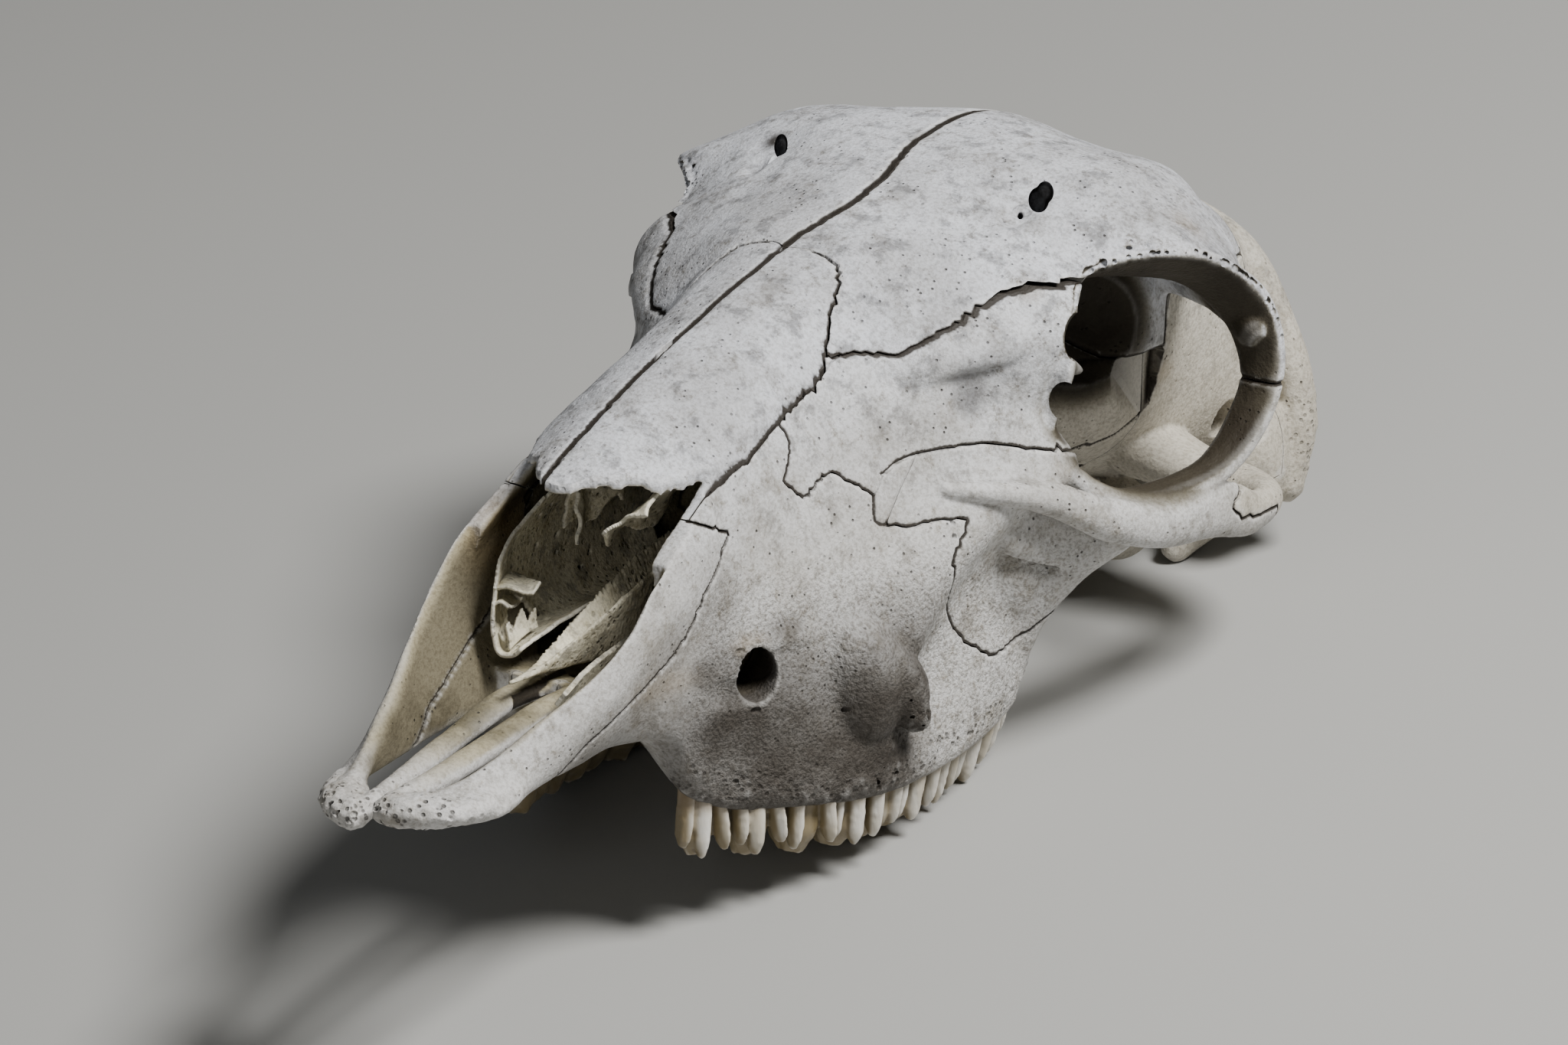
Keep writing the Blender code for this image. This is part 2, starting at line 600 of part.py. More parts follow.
def hollow_forms():
    forms = [rail_form(CAVITY_RAILS, CAVITY_ENDS), prism(APERTURE, "x", -40, 40)]
    socket = blob((50, 165.5, 75.5), (34, 23, 21), turn_z=-8)
    pit = blob((50.5, 130, 75), (15, 12, 7.5))
    under_ridge = blob((55.5, 139, 43.5), (13, 15, 7), turn_x=14)
    meatus = tube(((40, 223, 54), (31, 225, 53), (22, 226, 52)), ((3, 3.6), (2.8, 3.4), (2.4, 3)))
    passage = blob((30, 190, 44), (11, 8, 7.5), turn_x=-20)
    infraorbital = tube(((31, 79.5, 31), (20, 84, 33), (12, 92, 34)), ((4.2, 3), (4, 3), (4, 3)))
    supraorbital = tube(
        ((27.4, 163, 110), (26, 164.5, 100), (24, 168, 90)), ((2.6, 3.4), (2.4, 3), (2.2, 2.6)),
    )
    forms += both([socket, pit, under_ridge, meatus, passage, infraorbital, supraorbital])
    choana = ((0, 118, 38), (0, 132, 33), (0, 146, 28), (0, 168, 25))
    forms.append(tube(choana, ((8, 6), (9, 8), (9.4, 9), (8.8, 10))))
    canal = ((0, 252, 52), (0, 238, 53), (0, 226, 58), (0, 215, 68))
    forms.append(tube(canal, ((9.5, 8.5), (9, 8), (10, 10), (10, 10))))
    forms.append(blob((0, 205, 76), (24, 26, 19)))
    return forms


def whole_skull():
    """All the bones as one closed body, still without sutures or teeth."""
    skull = made("skull", face_mass() + braincase_mass() + skull_base())
    grown_together(skull, VOXEL, 2)
    hollows = made("hollows", hollow_forms())
    grown_together(hollows, VOXEL, 1)
    cut(skull, hollows, solver="MANIFOLD")
    added = made("added", cheek_arch() + orbit_rim() + snout_forms())
    heap = bmesh.new()
    for piece in (skull, added, nasal_plate()):
        heap.from_mesh(piece.data)
        if piece is not skull:
            bpy.data.objects.remove(piece)
    heap.to_mesh(skull.data)
    heap.free()
    grown_together(skull, VOXEL, 2)
    keep_largest(skull)
    thin_out = skull.modifiers.new("fewer faces", "DECIMATE")
    thin_out.ratio = ROUGH_TRIANGLES / sum(len(face.vertices) - 2 for face in skull.data.polygons)
    thin_out.use_collapse_triangulate = True
    settle(skull)
    return skull


def tooth_forms(front, back, width, lobes):
    """The lobes of a left tooth: pillared columns with their roots sunk in the bone."""
    forms = []
    length = (back - front) / lobes
    for k in range(lobes):
        middle = front + length * (k + 0.5)
        at_gum = curve_at(TOOTH_ROW, [middle])[0]
        ahead = curve_at(TOOTH_ROW, [middle - 2])[0]
        behind = curve_at(TOOTH_ROW, [middle + 2])[0]
        along = np.array((behind[0] - ahead[0], 4.0))
        along /= np.linalg.norm(along)
        inward = np.array((-along[1], along[0]))
        narrow = 0.8 if lobes == 3 and k == 2 else 1
        rings = []
        levels = (
            (at_gum[1] + ROOT_DEPTH, at_gum[0] - 1, 0.85), (at_gum[3] + 2.6, at_gum[2], 1),
            (at_gum[3], at_gum[2], 0.86),
        )
        for level, (z, outer, share) in enumerate(levels):
            ring = []
            for a, b in LOBE:
                flat = np.array((outer, middle)) + along * a * length * share * 1.05
                flat = flat + inward * (b * width * narrow * share + (1 - share) * width * 0.25)
                rise = (0, 0.5 * b, 2.4 * b + 1.6 * abs(a))[level]
                ring.append((flat[0], flat[1], z + rise))
            rings.append(np.array(ring))
        forms.append(skin(rings))
    return forms


def add_teeth(maxilla, side):
    roots = bpy.data.collections.new("teeth")
    for tooth in TEETH:
        for form in tooth_forms(*tooth):
            lobe = made("tooth", [mirrored(form) if side < 0 else form])
            bpy.context.collection.objects.unlink(lobe)
            roots.objects.link(lobe)
    boolean = maxilla.modifiers.new("teeth", "BOOLEAN")
    boolean.operation = "UNION"
    boolean.operand_type = "COLLECTION"
    boolean.collection = roots
    boolean.solver = "MANIFOLD"
    settle(maxilla)
    for lobe in list(roots.objects):
        bpy.data.objects.remove(lobe)
    bpy.data.collections.remove(roots)
    keep_largest(maxilla)


def sheet_form(lines, thick):
    """A thin curved plate: one line of x, z across it at each y, thickened."""
    rings = []
    for y, line in lines:
        line = np.array(line, float)
        along = np.gradient(line, axis=0)
        along /= np.linalg.norm(along, axis=1)[:, None]
        out = np.column_stack([-along[:, 1], along[:, 0]]) * thick / 2
        ring = np.concatenate([line + out, (line - out)[::-1]])
        rings.append(np.column_stack([ring[:, 0], np.full(len(ring), y), ring[:, 1]]))
    points = np.concatenate(rings)
    faces = faces_between(rings)
    count = len(rings[0])
    for first in (0, len(points) - count):
        last = first + count - 1
        for j in range(count // 2 - 1):
            faces.append((first + j, first + j + 1, last - j - 1, last - j))
    return points, faces


def turbinate():
    """The scroll of thin bone on the left wall inside the nose."""
    lines = []
    for y in np.linspace(TURBINATE_ENDS[0], TURBINATE_ENDS[1], TURBINATE_ROWS):
        wall = curve_at(CAVITY_RAILS["wall"], [y])[0]
        floor = curve_at(CAVITY_RAILS["floor_corner"], [y])[0][1] + 3
        roof = curve_at(CAVITY_RAILS["roof_corner"], [y])[0][1] - 5
        share = (y - TURBINATE_ENDS[0]) / (TURBINATE_ENDS[1] - TURBINATE_ENDS[0])
        reach = 0.55 + 0.45 * math.sin(math.pi * (0.15 + 0.7 * share))
        middle = (floor + roof) / 2
        side = min(wall[0] - 1.4, 14 + max(0, y - 76) * 0.3)
        lines.append((y, (
            (side, middle + 3), (side - 1, middle - 3), (side - 3.6, floor + 2), (8.5, floor),
            (4, floor + 3), (2.6, floor + 9), (2.6, middle + 3), (4, middle + (roof - middle) * reach),
        )))
    return sheet_form(lines, 1.1)


def vomer():
    rings = []
    levels = ((46, 31.6, 34), (58, 31.4, 37), (76, 30.5, 41), (94, 29, 45), (112, 29.5, 49), (124, 36, 52))
    for y, low, high in levels:
        rings.append(np.array([(-0.9, y, low), (0.9, y, low), (0.6, y, high), (-0.6, y, high)]))
    return skin(rings)


def islands(shape):
    """The separate surfaces of a bmesh, as lists of faces."""
    seen = set()
    found = []
    for face in shape.faces:
        if face in seen:
            continue
        island = [face]
        seen.add(face)
        for member in island:
            for edge in member.edges:
                for other in edge.link_faces:
                    if other not in seen:
                        seen.add(other)
                        island.append(other)
        found.append(island)
    return found


def enclosed(island):
    """The volume inside a closed surface, below zero for a hollow."""
    total = 0.0
    for face in island:
        corners = [vert.co for vert in face.verts]
        for i in range(1, len(corners) - 1):
            total += corners[0].dot(corners[i].cross(corners[i + 1])) / 6
    return total


def keep_largest(obj, side=0):
    """Leaves only the largest closed surface, on the given side of the middle plane if any."""
    shape = bmesh.new()
    shape.from_mesh(obj.data)
    pieces = islands(shape)
    if side:
        pieces = [p for p in pieces if side * sum(f.calc_center_median().x for f in p) > 0]
    best = max(pieces, key=enclosed)
    drop = set(shape.faces) - set(best)
    bmesh.ops.delete(shape, geom=list(drop), context="FACES")
    shape.to_mesh(obj.data)
    shape.free()


def grown_outline(outline, by):
    """The outline moved outwards by the given distance."""
    points = np.array(outline, float)
    before = points - np.roll(points, 1, axis=0)
    after = np.roll(points, -1, axis=0) - points
    area = np.sum(points[:, 0] * np.roll(points[:, 1], -1) - np.roll(points[:, 0], -1) * points[:, 1])
    turn = 1 if area > 0 else -1
    normals = []
    for a, b in zip(before, after):
        na = np.array((a[1], -a[0])) / np.linalg.norm(a) * turn
        nb = np.array((b[1], -b[0])) / np.linalg.norm(b) * turn
        middle = (na + nb) / max(np.linalg.norm(na + nb), 0.2)
        normals.append(middle / max(middle @ na, 0.5))
    return points + np.array(normals) * by


def territories():
    """Each bone's room: prisms of an outline, the axis it is drawn along, and from where to where."""
    far = 90
    premaxilla = ((-10, 12),) + PREMAXILLA_REAR + ((50, 62), (-10, 62))
    lacrimal = LACRIMAL_FRONT + LACRIMAL_TOP + LACRIMAL_FOOT
    zygomatic = LACRIMAL_FOOT[::-1] + ZYGOMATIC_REAR + ((175, 38),) + ZYGOMATIC_FRONT
    frontal = LACRIMAL_TOP[1:] + FRONTAL_FOOT + ((100, 120), (100, 79))
    half = SUTURE_GAP / 2
    nasal = ((half, 50),) + NASAL_OUTER + ((half, 124.2),)
    palatine = ((118, 0), (118, 33), (126, 36), (134, 36), (160, 36.5), (185, 38), (185, 20), (150, 8))
    occipital = ((217.8, 10), (217.8, 44), (222, 60), (222, 120), (270, 120), (270, 10))
    parietal = ((190, 120), (190, 86), (200, 85), (215, 83.5), (227, 83), (223, 92), (222, 120))
    return [
        ("premaxilla", True, [
            ("x", premaxilla, 8, far),
            ("x", ((-10, 5), (61, 5), (61, 38), (-10, 38)), half, 9),
        ]),
        ("nasal", True, [("z", nasal, 55, 120)]),
        ("lacrimal", True, [("x", lacrimal, 18, far)]),
        ("zygomatic", True, [("x", zygomatic, 31, far)]),
        ("frontal", True, [("x", frontal, half, far)]),
        ("palatine", True, [("x", palatine, half, 17)]),
        ("maxilla", True, [
            ("x", ((30, -10), (137, -10), (137, 95), (30, 95)), half, far),
            ("x", ((130, -10), (165, -10), (165, 66), (130, 66)), 17, far),
        ]),
        ("parietal", False, [("x", parietal, -far, far)]),
        ("temporal", True, [
            ("x", ((170, 35), (170, 75), (199, 75), (199, 35)), 34, far),
            ("x", (
                (197, 41), (195, 70), (198, 85), (215, 84), (227, 84), (230, 70), (229, 44), (218, 41),
            ), 18, far),
            ("x", ((194, 20), (194, 47), (217.5, 47), (217.5, 20)), 13, far),
        ]),
        ("occipital", False, [("x", occipital, -far, far)]),
    ]


def room(prisms, side, grow=0.0):
    """The closed solid of a territory, grown for the suture where its neighbours are cut."""
    forms = []
    for axis, outline, low, high in prisms:
        shape = grown_outline(outline, grow) if grow else outline
        form = prism(shape, axis, low - grow, high + grow)
        forms.append(mirrored(form) if side < 0 else form)
    whole = made("room", forms[:1])
    for form in forms[1:]:
        cut(whole, made("room", [form]), "UNION")
    return whole


def parted(skull):
    """Cuts the skull into its bones along the sutures."""
    bones = {}
    for name, paired, prisms in territories():
        for side, ending in (((1, "_left"), (-1, "_right")) if paired else ((1, ""),)):
            bone = skull.copy()
            bone.data = skull.data.copy()
            bone.name = name + ending
            bpy.context.collection.objects.link(bone)
            cut(bone, room(prisms, side), "INTERSECT", solver=PARTING_SOLVER)
            keep_largest(bone)
            bones[bone.name] = bone
        for side in (1, -1) if paired else (1,):
            cut(skull, room(prisms, side, SUTURE_GAP), solver=PARTING_SOLVER)
    keep_largest(skull)
    skull.name = "sphenoid"
    bones["sphenoid"] = skull
    return bones


def painted(obj, colour, roughness):
    material = bpy.data.materials.get(colour)
    if material is None:
        material = bpy.data.materials.new(colour)
        material.use_nodes = True
        shader = material.node_tree.nodes["Principled BSDF"]
        shader.inputs["Base Color"].default_value = COLOURS[colour] + (1,)
        shader.inputs["Roughness"].default_value = roughness
        shader.inputs["Metallic"].default_value = 0.0
    obj.data.materials.clear()
    obj.data.materials.append(material)


def laid_down(bones):
    """Lays the skull on its last cheek teeth and its jugular processes, centred over the ground."""
    rest = bpy.data.objects.new("skull_at_rest", None)
    bpy.context.collection.objects.link(rest)
    rest.rotation_euler = (math.radians(-REST_TILT), 0, 0)
    turn = np.array(rest.rotation_euler.to_matrix())
    points = np.concatenate([np.array([v.co[:] for v in bone.data.vertices]) for bone in bones]) @ turn.T
    low, high = points.min(axis=0), points.max(axis=0)
    rest.location = (-(low[0] + high[0]) / 2, -(low[1] + high[1]) / 2, -low[2])
    for bone in bones:
        bone.parent = rest


def sheep_skull():
    bones = parted(whole_skull())
    add_teeth(bones["maxilla_left"], 1)
    add_teeth(bones["maxilla_right"], -1)
    bones["turbinate_left"] = made("turbinate_left", [turbinate()])
    bones["turbinate_right"] = made("turbinate_right", [mirrored(turbinate())])
    bones["vomer"] = made("vomer", [vomer()])
    for name, bone in bones.items():
        kind = name.removesuffix("_left").removesuffix("_right")
        colour = next(key for key, names in BONES_BY_COLOUR.items() if kind in names)
        painted(bone, colour, 0.6)
        bone.data.shade_smooth()
        bone.data.set_sharp_from_angle(angle=math.radians(40))
    laid_down(list(bones.values()))


for leftover in list(bpy.data.objects):
    bpy.data.objects.remove(leftover)
sheep_skull()
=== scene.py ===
import math
import bmesh
import bpy
import numpy as np
from mathutils import Matrix, Vector


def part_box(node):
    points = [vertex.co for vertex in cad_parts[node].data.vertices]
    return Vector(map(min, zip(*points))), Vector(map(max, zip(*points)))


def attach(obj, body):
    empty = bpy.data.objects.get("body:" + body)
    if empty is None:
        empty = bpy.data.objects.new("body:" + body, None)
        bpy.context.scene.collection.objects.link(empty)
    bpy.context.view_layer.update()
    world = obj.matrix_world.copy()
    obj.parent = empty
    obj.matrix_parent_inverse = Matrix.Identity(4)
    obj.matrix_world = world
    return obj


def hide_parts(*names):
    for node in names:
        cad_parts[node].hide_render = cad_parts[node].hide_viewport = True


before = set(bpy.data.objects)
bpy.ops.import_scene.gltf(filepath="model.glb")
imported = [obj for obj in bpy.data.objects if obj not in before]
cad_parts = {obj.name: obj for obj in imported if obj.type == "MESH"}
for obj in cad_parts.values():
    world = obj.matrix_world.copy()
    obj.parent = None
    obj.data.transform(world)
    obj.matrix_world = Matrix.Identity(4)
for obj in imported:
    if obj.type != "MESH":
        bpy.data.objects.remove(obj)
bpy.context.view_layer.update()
mm = 0.001

# Skull of a hornless sheep without its lower jaw.
# Shapes are worked out in millimetres: x to the animal's left, y from the snout back, z up from the
# chewing plane. placePiece then lays each one down where the solids lie.

skull = {
    "voxel": 0.5, "smoothPasses": 3, "nickVoxel": 0.24, "sutureGap": 0.3,
    "seamGrid": 0.12, "seamReach": 1.5, "seamDepth": 0.32,
    "snoutLean": 0.9, "snoutSag": 2.0, "jugularTip": 26.6, "restTilt": 15.0,
    "faceEnds": (60, 149), "braincaseEnds": (140, 234), "cavityEnds": (50, 136), "wallEnds": (11, 74),
    # which way the round holes lead: inwards and back
    "holeRun": (-0.51, 0.83, -0.24),
    # spot, reach, how far out: small swellings and, below zero, hollows of both sides
    "swells": (
        ((27.4, 88, 37), (3, 13, 2.6), 0.8), ((26, 74, 36.6), (3, 8, 2), 0.7),
        ((33, 99, 27), (8, 12, 13), -1.1), ((38, 113, 33), (5, 4, 9), 0.6),
        ((27.0, 153.8, 99.6), (3.4, 6, 3), -1.0), ((-25.2, 153.5, 100.6), (3, 5.5, 3), -0.6),
        ((36.5, 121, 27), (6, 8, 10), -0.9), ((37, 128.5, 73), (9, 10, 7), -0.8),
        ((27, 159.5, 103), (8, 9, 6), -0.6), ((22, 148, 98), (6, 14, 6), -0.5),
        ((40, 138, 66), (7, 9, 5), 0.6), ((44, 145, 58), (5, 12, 3), 0.6),
        ((20, 66, 45), (4, 20, 6), 0.3), ((33, 178, 103), (12, 16, 8), 0.5),
    ),
}

# Rails: each row is a place along the skull (y) and the rail's x and z there.
faceRails = {
    "dorsal": (
        (56, 0, 65), (68, 0, 70.5), (79, 0, 75.6), (92, 0, 81.5), (109, 0, 88.6), (124, 0, 94),
        (140, 0, 99), (155, 0, 102),
    ),
    "nasalMiddle": (
        (56, 10.5, 61.4), (76, 10.5, 71.3), (92, 10.5, 78.3), (109, 10.5, 85.6), (124, 11, 92),
        (140, 12, 98), (155, 14, 101),
    ),
    "nasalEdge": (
        (56, 16.8, 56), (76, 16.9, 65.4), (92, 16.8, 71.8), (109, 17, 78.6), (124, 19.5, 86.2),
        (140, 27, 93.6), (155, 30, 98),
    ),
    "upperCheek": (
        (56, 20.6, 49), (76, 20.4, 56), (92, 21.9, 62), (109, 24.6, 67), (124, 29, 75), (135, 36, 80),
        (142, 42.5, 84), (155, 44, 88),
    ),
    "cheek": (
        (56, 20.8, 40), (76, 23.4, 42), (92, 26.5, 46), (109, 31, 51), (124, 34.6, 61), (135, 38, 66),
        (142, 40.6, 69), (155, 43, 69),
    ),
    "lowerCheek": (
        (56, 19.5, 30), (76, 25.3, 29), (92, 31, 30), (109, 36.3, 34), (124, 39, 48), (140, 44, 57),
        (155, 47, 58),
    ),
    "tuber": (
        (56, 18, 26), (76, 24.5, 20), (92, 31.5, 18), (107, 35.6, 21), (116, 34.5, 24), (126, 34.5, 33),
        (140, 37, 42), (155, 38, 44),
    ),
    "gum": (
        (60, 16.5, 22.5), (66, 18.5, 21), (71, 20, 12), (76, 22.5, 9.5), (92, 30.5, 7.6), (109, 36, 7.6),
        (125, 37, 9.5), (140, 36.8, 12.5), (155, 35, 17),
    ),
    "innerGum": (
        (56, 12, 22.5), (66, 12, 21), (76, 13, 12), (92, 17, 9.5), (109, 20.5, 9.5), (125, 21.5, 11.5),
        (140, 21, 15), (155, 18, 22),
    ),
    "palateSide": (
        (56, 7, 26), (76, 8, 21), (92, 11, 18.5), (109, 14, 18.5), (125, 14, 20), (140, 12, 24),
        (155, 11, 33),
    ),
    "palate": (
        (56, 0, 26), (76, 0, 22), (92, 0, 20.5), (109, 0, 20.5), (125, 0, 22), (140, 0, 26),
        (155, 0, 34),
    ),
}
frontalTop = {
    "middle": (
        (118, 0, 91), (124, 0, 93.5), (140, 0, 100), (155, 0, 104.5), (168, 0, 107.8), (180, 0, 109.9),
        (195, 0, 108), (208, 0, 103),
    ),
    "inner": (
        (118, 12, 86), (124, 12, 92), (140, 14, 98), (155, 16, 103), (168, 19, 107), (180, 19, 108),
        (195, 17, 105), (208, 16, 100),
    ),
    "outer": (
        (118, 19, 82), (124, 22, 86), (140, 29, 92.5), (155, 32, 98), (168, 37, 102), (180, 38.5, 103.5),
        (195, 34, 103), (208, 28, 98.5),
    ),
    "edge": (
        (118, 24, 76), (124, 30, 79), (140, 40, 84), (150, 41, 89), (156, 41.5, 92.5), (168, 52, 95.5),
        (180, 55, 92.5), (190, 49, 93.5), (208, 33, 89),
    ),
}
# how thick each plate is under its rails
frontalDepth = {"middle": 16, "inner": 14, "outer": 9, "edge": 4.5}
braincaseRails = {
    "top": (
        (140, 0, 96), (158, 0, 98), (172, 0, 104), (185, 0, 107), (198, 0, 106), (210, 0, 102),
        (222, 0, 96.5), (234, 0, 89),
    ),
    "upper": (
        (140, 13, 90), (158, 15, 92), (172, 18, 99), (185, 24, 101), (198, 27, 99.5), (210, 28, 96),
        (222, 27.5, 91.5), (234, 25, 85),
    ),
    "side": (
        (140, 15, 72), (158, 16, 74), (172, 20, 76), (185, 32.5, 80), (198, 34, 81), (210, 33.5, 79),
        (222, 33, 76), (234, 33.5, 71),
    ),
    "low": (
        (140, 14, 54), (158, 14, 56), (172, 17, 56), (185, 28, 57), (198, 30.5, 58), (210, 31, 57),
        (222, 32, 55), (234, 35, 52),
    ),
    "base": (
        (140, 9, 42), (158, 9, 43), (172, 9, 44), (185, 12, 45), (198, 18, 46), (210, 22, 44),
        (222, 22, 42), (234, 22, 42),
    ),
    "keel": (
        (140, 0, 41), (158, 0, 41), (172, 0, 42), (185, 0, 42), (198, 0, 41), (210, 0, 40), (222, 0, 39),
        (234, 0, 39),
    ),
}
cavityRails = {
    "roof": (
        (50, 0, 60), (57, 0, 61), (76, 0, 70.5), (92, 0, 77.5), (109, 0, 84.5), (124, 0, 88),
        (136, 0, 86),
    ),
    "roofCorner": (
        (50, 13, 57), (57, 13.5, 56), (76, 14, 65), (92, 14, 71), (109, 13.5, 78), (124, 12, 83),
        (136, 8, 83),
    ),
    "wall": (
        (50, 17.5, 44), (57, 18, 44), (76, 19, 48), (92, 20, 52), (109, 20, 56), (124, 18, 62),
        (136, 10, 66),
    ),
    "floorCorner": (
        (50, 14, 31), (57, 15, 31), (76, 16, 30), (92, 16, 30), (109, 15, 32), (124, 12, 38),
        (136, 7, 48),
    ),
    "floor": (
        (50, 0, 29), (57, 0, 29.5), (76, 0, 27), (92, 0, 26), (109, 0, 26.5), (124, 0, 32), (136, 0, 46),
    ),
}
wallRails = {
    "edge": (
        (11, 9.5, 21.8), (16, 11, 23.2), (22.5, 12.9, 25.6), (32.4, 15.9, 31.4), (43, 19.5, 38.2),
        (51, 20.8, 44.9), (55, 20.5, 49.3), (61, 20.1, 53.6), (66, 19.6, 56.8), (74, 18.7, 61.4),
    ),
    "outer": (
        (11, 12, 21), (22.5, 15.2, 23.5), (32.4, 17.8, 27.5), (43, 20.6, 32), (54, 21.8, 40),
        (66, 21.8, 48), (74, 21.5, 52),
    ),
    "lower": (
        (11, 12.5, 18), (18, 17.3, 19.5), (29, 17.2, 22), (41, 18, 24.5), (54, 19.5, 28.5),
        (66, 21.5, 31), (74, 23, 32),
    ),
    "foot": (
        (11, 10, 16), (18, 16.3, 17.6), (29, 15.8, 19.4), (41, 15.6, 21.2), (54, 15.8, 22.6),
        (66, 17, 22), (74, 18, 22),
    ),
    "innerFoot": (
        (11, 6, 16.5), (18, 11.5, 18), (29, 12.5, 20.3), (41, 12.8, 22.6), (54, 13, 24.5),
        (66, 13, 25.5), (74, 13, 25.5),
    ),
    "inner": (
        (11, 6.5, 20.5), (22.5, 10.5, 23), (32.4, 13.4, 28), (43, 17.2, 34), (54, 18.3, 41),
        (66, 18, 49), (74, 17.5, 54),
    ),
}
aperture = (  # the nose's opening from the side, as y and z
    (40, 36.5), (51, 44.9), (55, 49.3), (61, 53.6), (66, 56.8), (70, 59.4), (76, 63.6), (80, 67.4),
    (80, 120), (40, 120),
)
nasalTop = {
    "middle": ((50, 0, 62), (68, 0, 70.5), (79, 0, 75.6), (96, 0, 83.2)),
    "inner": ((50, 6, 61), (68, 6, 69.4), (79, 6, 74.4), (96, 6, 82)),
    "outer": ((50, 12.2, 57.6), (68, 12.2, 66), (79, 12.2, 71), (96, 12.2, 78.4)),
    "edge": ((50, 17, 54.6), (68, 17, 61.8), (79, 17, 67), (96, 16.8, 74)),
}
nasalDepth = {"middle": 2.0, "inner": 1.7, "outer": 1.7, "edge": 1.8}
nasalFront = (  # the broken front edge of a nasal bone from above, as x and y
    (0, 54), (1.6, 54.4), (2.6, 56.6), (3.7, 55.8), (5, 58.6), (6.2, 58.2), (7.4, 61.2), (9, 61.4),
    (10.2, 65), (11.6, 64.6), (13, 67.9), (14.2, 69.4), (15.2, 72.6), (16.2, 73.6), (17, 77.4), (22, 79),
)
orbitRim = (  # the band round a socket: its crest, its inner edge, then half its thickness
    (42.2, 156.3, 93, 34, 160, 90, 1.5), (42, 149.9, 88.2, 35, 152, 85, 1.5),
    (45.3, 144.6, 76.8, 38.5, 147.5, 76, 1.6), (41.9, 145.2, 63, 37, 148, 62, 1.7),
    (49.5, 151.6, 55, 44, 153, 53.5, 2.3), (54, 162, 52.5, 47.5, 163, 50.5, 2.5),
    (58.8, 177, 56, 53, 177.5, 54.5, 2.3), (61.5, 187, 66, 53.5, 188, 63.5, 2),
    (61.3, 189, 77.5, 53.5, 190.5, 72, 2), (59, 183.5, 88, 50, 187.5, 81.5, 2.1),
    (53, 170, 95, 44, 178, 89, 1.8),
)
# Suture lines from the side, as y and z; nasalOuter and middleLine from above, as x and y.
premaxillaRear = (
    (36, 12), (36, 20.5), (41.3, 25.9), (49.9, 30.5), (55.8, 34), (61.9, 38), (66, 42.2), (68.8, 46.4),
    (73.2, 50.3), (75.5, 53), (77.6, 55.5), (71.9, 57.3), (64, 60),
)
lacrimalFront = ((109.4, 58), (103.2, 62.4), (99.1, 60.7), (96.1, 58.5), (92, 62), (96, 67.2), (93.6, 74.6))
lacrimalTop = (
    (101.6, 78.4), (108, 79.9), (115.8, 79.6), (120.9, 79.4), (125.8, 82.5), (131.2, 85.3),
    (138.8, 88.6), (143.2, 89.8), (148.1, 90.2), (153, 90.3),
)
lacrimalFoot = (
    (153, 61.5), (145, 62.5), (139.2, 63.5), (135.8, 64.2), (131.8, 64.8), (125.8, 64.8), (118.8, 64),
    (115.3, 63), (111.8, 61),
)
zygomaticFront = (
    (158, 33), (151.4, 32), (148.1, 28.9), (139.1, 26.1), (134.7, 28), (131.2, 30), (123.3, 39.4),
    (121, 46.9), (125, 53.2), (120.3, 53.3), (114.8, 52.4), (108.4, 53.3), (109.4, 58),
)
zygomaticRear = (
    (170, 66), (184, 70), (197, 71), (197, 60), (191, 54.5), (183, 52.5), (178.5, 49.8), (182, 47.2),
    (189, 46.6), (197, 47), (198, 36),
)
frontalFoot = (
    (160, 86), (172, 80), (184, 70.3), (197, 71.3), (196, 78), (196.5, 87), (199, 95), (201, 104),
    (201, 120),
)
nasalOuter = (
    (17.9, 50), (17.9, 74), (18.2, 86), (17.9, 94), (17.6, 101.6), (17.8, 107.7), (16.5, 111.4),
    (14.1, 115.2), (12.9, 119), (12, 121.1), (9.5, 123.6), (7.2, 124.3), (4.3, 124.5),
)
eyeSocket = {"centre": (50, 165.5, 75.5), "radii": (34, 23, 21), "turn": 8}
toothRow = (  # along the row: y, then x and z of the gum, then x and z of the tips
    (70, 19, 14, 19, 0.6), (76, 21.8, 12, 21.8, 0), (84, 26.2, 11.5, 26.2, -0.3),
    (93, 30.6, 9.5, 30.4, -0.8), (103, 34, 9.7, 33.6, -1.1), (112, 36, 10.5, 34.8, -0.8),
    (121, 36.2, 12, 34.6, -0.1), (131, 36, 13.8, 33.8, 0.6), (141, 35.4, 16, 32.8, 2.2),
    (152, 33.6, 19, 31, 5), (158, 32, 21, 29.5, 7.5),
)

vomerSolid = (  # the solid vomer's y, lowest z and highest z, to find how the skull lies
    (46, 31.6, 34), (58, 31.4, 37), (76, 30.5, 41), (94, 29, 45), (112, 29.5, 49), (124, 36, 52),
)
middleLine = (
    (-1.6, 50), (-2.6, 66), (-2.6, 80), (-2.5, 92), (-1.9, 104), (-1.2, 114), (-0.7, 123.7), (-0.4, 128),
    (1.3, 133.7), (2.9, 139.5), (2.6, 145), (2.3, 150.8), (1.1, 156.5), (0, 162),
    (-0.3, 168), (0, 181), (0, 215),
)


